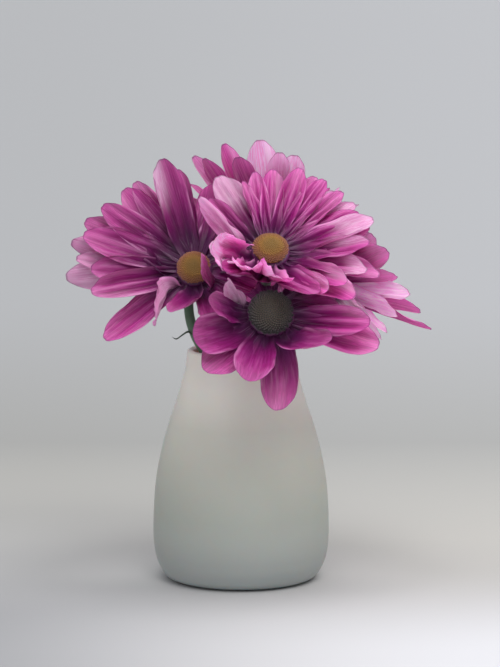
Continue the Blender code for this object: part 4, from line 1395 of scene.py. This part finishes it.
def dome_shape(radius, height):
    """A half ball, stretched to its radius and height, closed underneath."""
    shape = bmesh.new()
    bmesh.ops.create_uvsphere(shape, u_segments=32, v_segments=16, radius=1.0)
    bmesh.ops.bisect_plane(
        shape, geom=shape.verts[:] + shape.edges[:] + shape.faces[:], dist=1e-4,
        plane_co=(0, 0, 0), plane_no=(0, 0, 1), clear_inner=True,
    )
    bmesh.ops.contextual_create(shape, geom=[e for e in shape.edges if e.is_boundary])
    bmesh.ops.scale(shape, verts=shape.verts, vec=(radius, radius, height))
    bmesh.ops.translate(shape, verts=shape.verts, vec=(0.0, 0.0, DISC_GAP))
    return started_from(kept_mesh("dome", shape))


def make_disc(name, head):
    """A dome covered with florets, in metres, on its head."""
    radius = head["disc"] - DOME_INSET
    dome = head["disc"] * DISC_DOME - DOME_INSET
    shape = dome_shape(radius, dome)
    layer = shape.verts.layers.float_color.new("floret_data")
    for vertex in shape.verts:
        vertex[layer] = (RIPENESS_AND_SHADE[name] * 0.5, 0.3, 0.0, 1.0)
    draw = random.Random(200 + head["seed"])
    for i in range(FLORETS):
        share = (i + 0.5) / FLORETS
        out = (head["disc"] - FLORET_INSET) * math.sqrt(share)
        x, y = (out * part(i * GOLDEN_ANGLE) for part in (math.cos, math.sin))
        z = (dome + 0.1) * math.sqrt(max(0.0, 1.0 - (out / (head["disc"] + 0.05)) ** 2))
        opened = share > 1.0 - OPEN_SHARE[name] + draw.uniform(-0.06, 0.06)
        size = (FLORET_SIZE + RIM_GROWTH * share) * draw.uniform(0.88, 1.1) * head["disc"] / 7.0
        spot = Matrix.Translation((x, y, z + DISC_GAP + 0.05))
        outward = Vector((x / radius ** 2, y / radius ** 2, z / dome ** 2)).normalized()
        lean = outward.to_track_quat("Z", "Y").to_matrix().to_4x4()
        spin = Matrix.Rotation(draw.uniform(0, 6.28), 4, "Z")
        first = len(shape.verts)
        shape.from_mesh(CUP if opened else BUD)
        shape.verts.ensure_lookup_table()
        added = shape.verts[first:]
        bmesh.ops.transform(shape, matrix=spot @ lean @ spin @ Matrix.Scale(size, 4), verts=added)
        ripe_and_shade = RIPENESS_AND_SHADE[name] * (0.45 + 0.55 * share) + (OPEN_RIPER if opened and RIPENESS_AND_SHADE[name] else 0.0)
        ripe_and_shade += (1.0 - RIPENESS_AND_SHADE[name]) * YOUNG_MIDDLE * (1.0 - share)
        for vertex in added:
            vertex[layer] = (min(1.0, ripe_and_shade), draw.random(), 0.0, 1.0)
    bmesh.ops.transform(shape, matrix=Matrix.Scale(MM, 4) @ head_matrix(head), verts=shape.verts)
    return shape


print("florets on a disc:", FLORETS)

# %% Disc material
def disc_material():
    material, tree, shader = new_material("disc_florets", Roughness=0.7, Sheen_Weight=0.15)
    ripe_and_shade, chance, _, _ = point_numbers(tree, "floret_data")
    # A low number gives the dark grey-green, which on the low disc is partly painted shade.
    colour = colour_ramp(tree, ripe_and_shade, (
        (0.0, srgb(61, 58, 59)), (0.3, srgb(114, 97, 46)), (0.65, srgb(164, 121, 52)),
        (0.85, srgb(166, 118, 64)), (1.0, srgb(158, 104, 76)),
    ))
    value = calc(tree, "MULTIPLY_ADD", chance, 0.4, 0.8)
    varied = add(tree, "ShaderNodeHueSaturation", {"Color": colour, "Value": value}).outputs["Color"]
    cloudy, height = mottled(tree, varied, 900.0, 0.3)
    feed(tree, shader.inputs["Base Color"], cloudy)
    bumped(tree, shader, height, 0.00008, 0.4)
    return material


DISC_FINISH = disc_material()
for head_name, head in HEADS.items():
    florets = make_disc(head_name, head)
    hand_over(f"florets_{head_name}", florets, DISC_FINISH, "disc", f"disc_{head_name}", angle=60.0)

# %% [markdown]
# ## Stems, cups and bracts
# Behind each head sits a green cup of overlapping bracts, on a ribbed stem. The stem is a flat grid
# rolled round its line, so that its rows follow the bend. The cup is spun, and the bracts are blades from
# the template, in three rings like roof tiles. Those behind the top bloom are coloured plum, partly their
# own colour and partly painted shade where they show in a shaded gap.

# %% Stem tube
STEM_SIDES = 18
STEM_RIBS = 6
RIB_HEIGHT = 0.045
SWELL = 0.03
NECK_FLARE = 1.32
FLARE_START = 0.82
STEM_TOP = -6.8


def rolled_tube(line, radius_at, sides):
    """A closed tube round a line, from a grid whose rows are the line's points."""
    shape = bmesh.new()
    bmesh.ops.create_grid(shape, x_segments=len(line) - 1, y_segments=sides, size=0.5)
    runs = [(b - a).normalized() for a, b in zip(line, line[1:])]
    tangents = [runs[0]] + [(a + b).normalized() for a, b in zip(runs, runs[1:])] + [runs[-1]]
    across = tangents[0].orthogonal().normalized()
    frames = []
    for tangent in tangents:
        across = (across - tangent * across.dot(tangent)).normalized()
        frames.append((across, tangent.cross(across)))
    for vertex in shape.verts:
        row = round((vertex.co.x + 0.5) * (len(line) - 1))
        angle = 2 * math.pi * (vertex.co.y + 0.5)
        first, second = frames[row]
        reach = radius_at(row / (len(line) - 1), angle)
        vertex.co = line[row] + (first * math.cos(angle) + second * math.sin(angle)) * reach
    bmesh.ops.remove_doubles(shape, verts=shape.verts, dist=0.001)
    bmesh.ops.holes_fill(shape, edges=[e for e in shape.edges if e.is_boundary], sides=0)
    bmesh.ops.recalc_face_normals(shape, faces=shape.faces)
    return shape


def stem_shape(head):
    line = stem_line(head, bend_steps=26, foot_steps=12)
    facing = Vector(head["axis"]).normalized()
    line.append(Vector(head["centre"]) + facing * STEM_TOP)

    def radius_at(share, angle):
        flare = 1.0 + (NECK_FLARE - 1.0) * max(0.0, (share - FLARE_START) / (1.0 - FLARE_START)) ** 2
        rib = 1.0 + RIB_HEIGHT * math.cos(STEM_RIBS * angle)
        swell = 1.0 + SWELL * noise.noise(Vector((share * 9.0, head["seed"], 0.0)))
        return STEM_RADIUS * flare * rib * swell

    return rolled_tube(line, radius_at, STEM_SIDES)


print("stem sides:", STEM_SIDES)

# %% Cup and bracts
CUP_PROFILE = ((7.7, -4.6), (7.9, -5.4), (6.8, -7.4), (4.6, -9.2), (2.6, -10.4))
BRACT_RINGS = (
    {"count": 13, "seat": 3.2, "height": -10.2, "length": 5.4, "width": 3.0, "lean": 24.0},
    {"count": 15, "seat": 5.4, "height": -8.6, "length": 5.6, "width": 3.2, "lean": 42.0},
    {"count": 17, "seat": 7.2, "height": -7.0, "length": 4.8, "width": 3.0, "lean": 70.0},
)
BRACT_BLADE = blade_template(8, 6)
BRACT_THICKNESS = 0.35
# Plum colour near each head, partly painted shade; strongest behind the top bloom, in a shaded gap
PLUM_COLOUR_AND_SHADE = {"left": 0.0, "top": 0.85, "low": 0.2, "right": 0.2, "back": 0.0}
PLUM_REACH = (12.0, 24.0)


def bract_surface(ring, clock, lean):
    """A small scale that stands off the cup at its lean, hollow towards the cup."""
    out = Vector((math.cos(clock), math.sin(clock), 0.0))
    side = Vector((-math.sin(clock), math.cos(clock), 0.0))
    tilt = math.radians(lean)
    forward = out * math.cos(tilt) + Vector((0, 0, 1)) * math.sin(tilt)
    normal = out * math.sin(tilt) - Vector((0, 0, 1)) * math.cos(tilt)
    root = out * ring["seat"] + Vector((0, 0, ring["height"]))

    def surface(along, across, below):
        half = ring["width"] / 2 * (0.75 + 0.25 * math.sin(math.pi * along))
        half *= (1.0 - 0.4 * along ** 3 * abs(across)) * (1.0 - 0.8 * along ** 4)
        centre = root + forward * (ring["length"] * along) - normal * (0.5 * along * along)
        dome = -0.1 * across * across * ring["width"]
        return centre + side * (half * across) + normal * (dome + (0.0 if below else BRACT_THICKNESS))

    return surface


def make_green(name, head):
    """One head's stem, cup and bracts in one shape, in metres."""
    def stem_data(place):
        away = (place - Vector(head["centre"])).length
        return 0.5, 0.0, PLUM_COLOUR_AND_SHADE[name] * (1.0 - grown(away, *PLUM_REACH)), 1.0

    shape = evenly_marked(kept_mesh("stem_part", stem_shape(head)), 0.3, stem_data)
    to_head = head_matrix(head)
    draw = random.Random(300 + head["seed"])
    for ring in BRACT_RINGS:
        for i in range(ring["count"]):
            clock = 2 * math.pi * (i + draw.uniform(-0.1, 0.1)) / ring["count"] + ring["seat"]
            surface = bract_surface(ring, clock, ring["lean"] + draw.uniform(-4, 4))
            data = (draw.random(), 1.0, PLUM_COLOUR_AND_SHADE[name], 0.0)
            add_blade(shape, BRACT_BLADE, lambda *label: to_head @ surface(*label), lambda *spot: data)
    profile = smooth_run([(r - 0.5, z) for r, z in CUP_PROFILE], 3)
    cup = spun([(0.0, -4.7)] + profile + [(0.0, -10.4)], 32, unit=1.0)
    bmesh.ops.transform(cup, matrix=to_head, verts=cup.verts)
    first = len(shape.verts)
    shape.from_mesh(kept_mesh("cup_part", cup))
    layer = shape.verts.layers.float_color["blade_data"]
    shape.verts.ensure_lookup_table()
    for vertex in shape.verts[first:]:
        vertex[layer] = (0.4, 0.0, PLUM_COLOUR_AND_SHADE[name], 1.0)
    return shape


print("bracts behind a head:", sum(ring["count"] for ring in BRACT_RINGS))

# %% [markdown]
# One stem carries a small leaf that has dried into a hook. It is one more blade, laid along a smooth
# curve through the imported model's few points, with a turned-down edge.

# %% The small curled leaf
LEAFLET_STEM = "left"
LEAFLET = (
    ((0.0, 0.0, 0.0), 1.0), ((-1.7, -0.3, 2.0), 1.3), ((-3.2, -0.6, 3.0), 1.7),
    ((-5.3, -1.1, 1.8), 1.6), ((-7.6, -1.6, 0.2), 1.1), ((-9.3, -2.0, 0.9), 0.15),
)
LEAFLET_KNOT = 3
LEAFLET_THICKNESS = 0.5
LEAF_BLADE = blade_template(24, 6)


def leaflet_surface(base):
    run = smooth_run([(*step, half) for step, half in LEAFLET], 8)

    def surface(along, across, below):
        spot = along * (len(run) - 1)
        low = min(int(spot), len(run) - 2)
        a, b = run[low], run[low + 1]
        x, y, z, half = (p + (q - p) * (spot - low) for p, q in zip(a, b))
        fold = -0.35 * across * across * half
        drop = 0.2 + (LEAFLET_THICKNESS if below else 0.0)
        return base + Vector((x, y + half * across, z + fold - drop))

    return surface


print("points on the small leaf's line:", len(LEAFLET))

# %% Green material, stems and cups
def green_material():
    material, tree, shader = new_material(
        "green_stem", Roughness=0.55, Subsurface_Weight=0.05, Subsurface_Scale=0.001, Sheen_Weight=0.2,
    )
    _, along, off_middle = blade_map(tree)
    tone, leafy, plum, _ = point_numbers(tree, "blade_data")
    green = mix(tree, tone, srgb(80, 110, 92), srgb(104, 134, 100))
    # The plum colour is partly painted shade.
    green = mix(tree, plum, green, srgb(88, 44, 78))
    edge = times(tree, ramp_between(tree, off_middle, 0.7, 1.0), leafy)
    green = washed(tree, green, srgb(134, 120, 82), edge, 0.6)
    tip = times(tree, ramp_between(tree, along, 0.8, 1.0), leafy)
    green = washed(tree, green, srgb(96, 62, 60), tip, 0.6)
    cloudy, height = mottled(tree, green, 420.0, 0.45)
    feed(tree, shader.inputs["Base Color"], cloudy)
    bumped(tree, shader, height, 0.00015, 0.5)
    return material


GREEN_FINISH = green_material()
for head_name, head in HEADS.items():
    shape = make_green(head_name, head)
    if head_name == LEAFLET_STEM:
        knot = LINES[head_name][LEAFLET_KNOT]
        add_blade(shape, LEAF_BLADE, leaflet_surface(knot), lambda *spot: (0.2, 1.0, 0.0, 0.0))
    bmesh.ops.scale(shape, verts=shape.verts, vec=(MM,) * 3)
    hand_over(f"green_{head_name}", shape, GREEN_FINISH, "stem", f"stem_{head_name}", angle=55.0)

# %% [markdown]
# ## The size of the whole
# The fine model should fill the same box as the imported one. Both boxes are printed.

# %% Write the sizes and finish
visual_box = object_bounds()
for label, box in (("packed", cad_box), ("visual", visual_box)):
    print(label, "size in mm:", [round((b - a) / MM, 1) for a, b in zip(*box)])
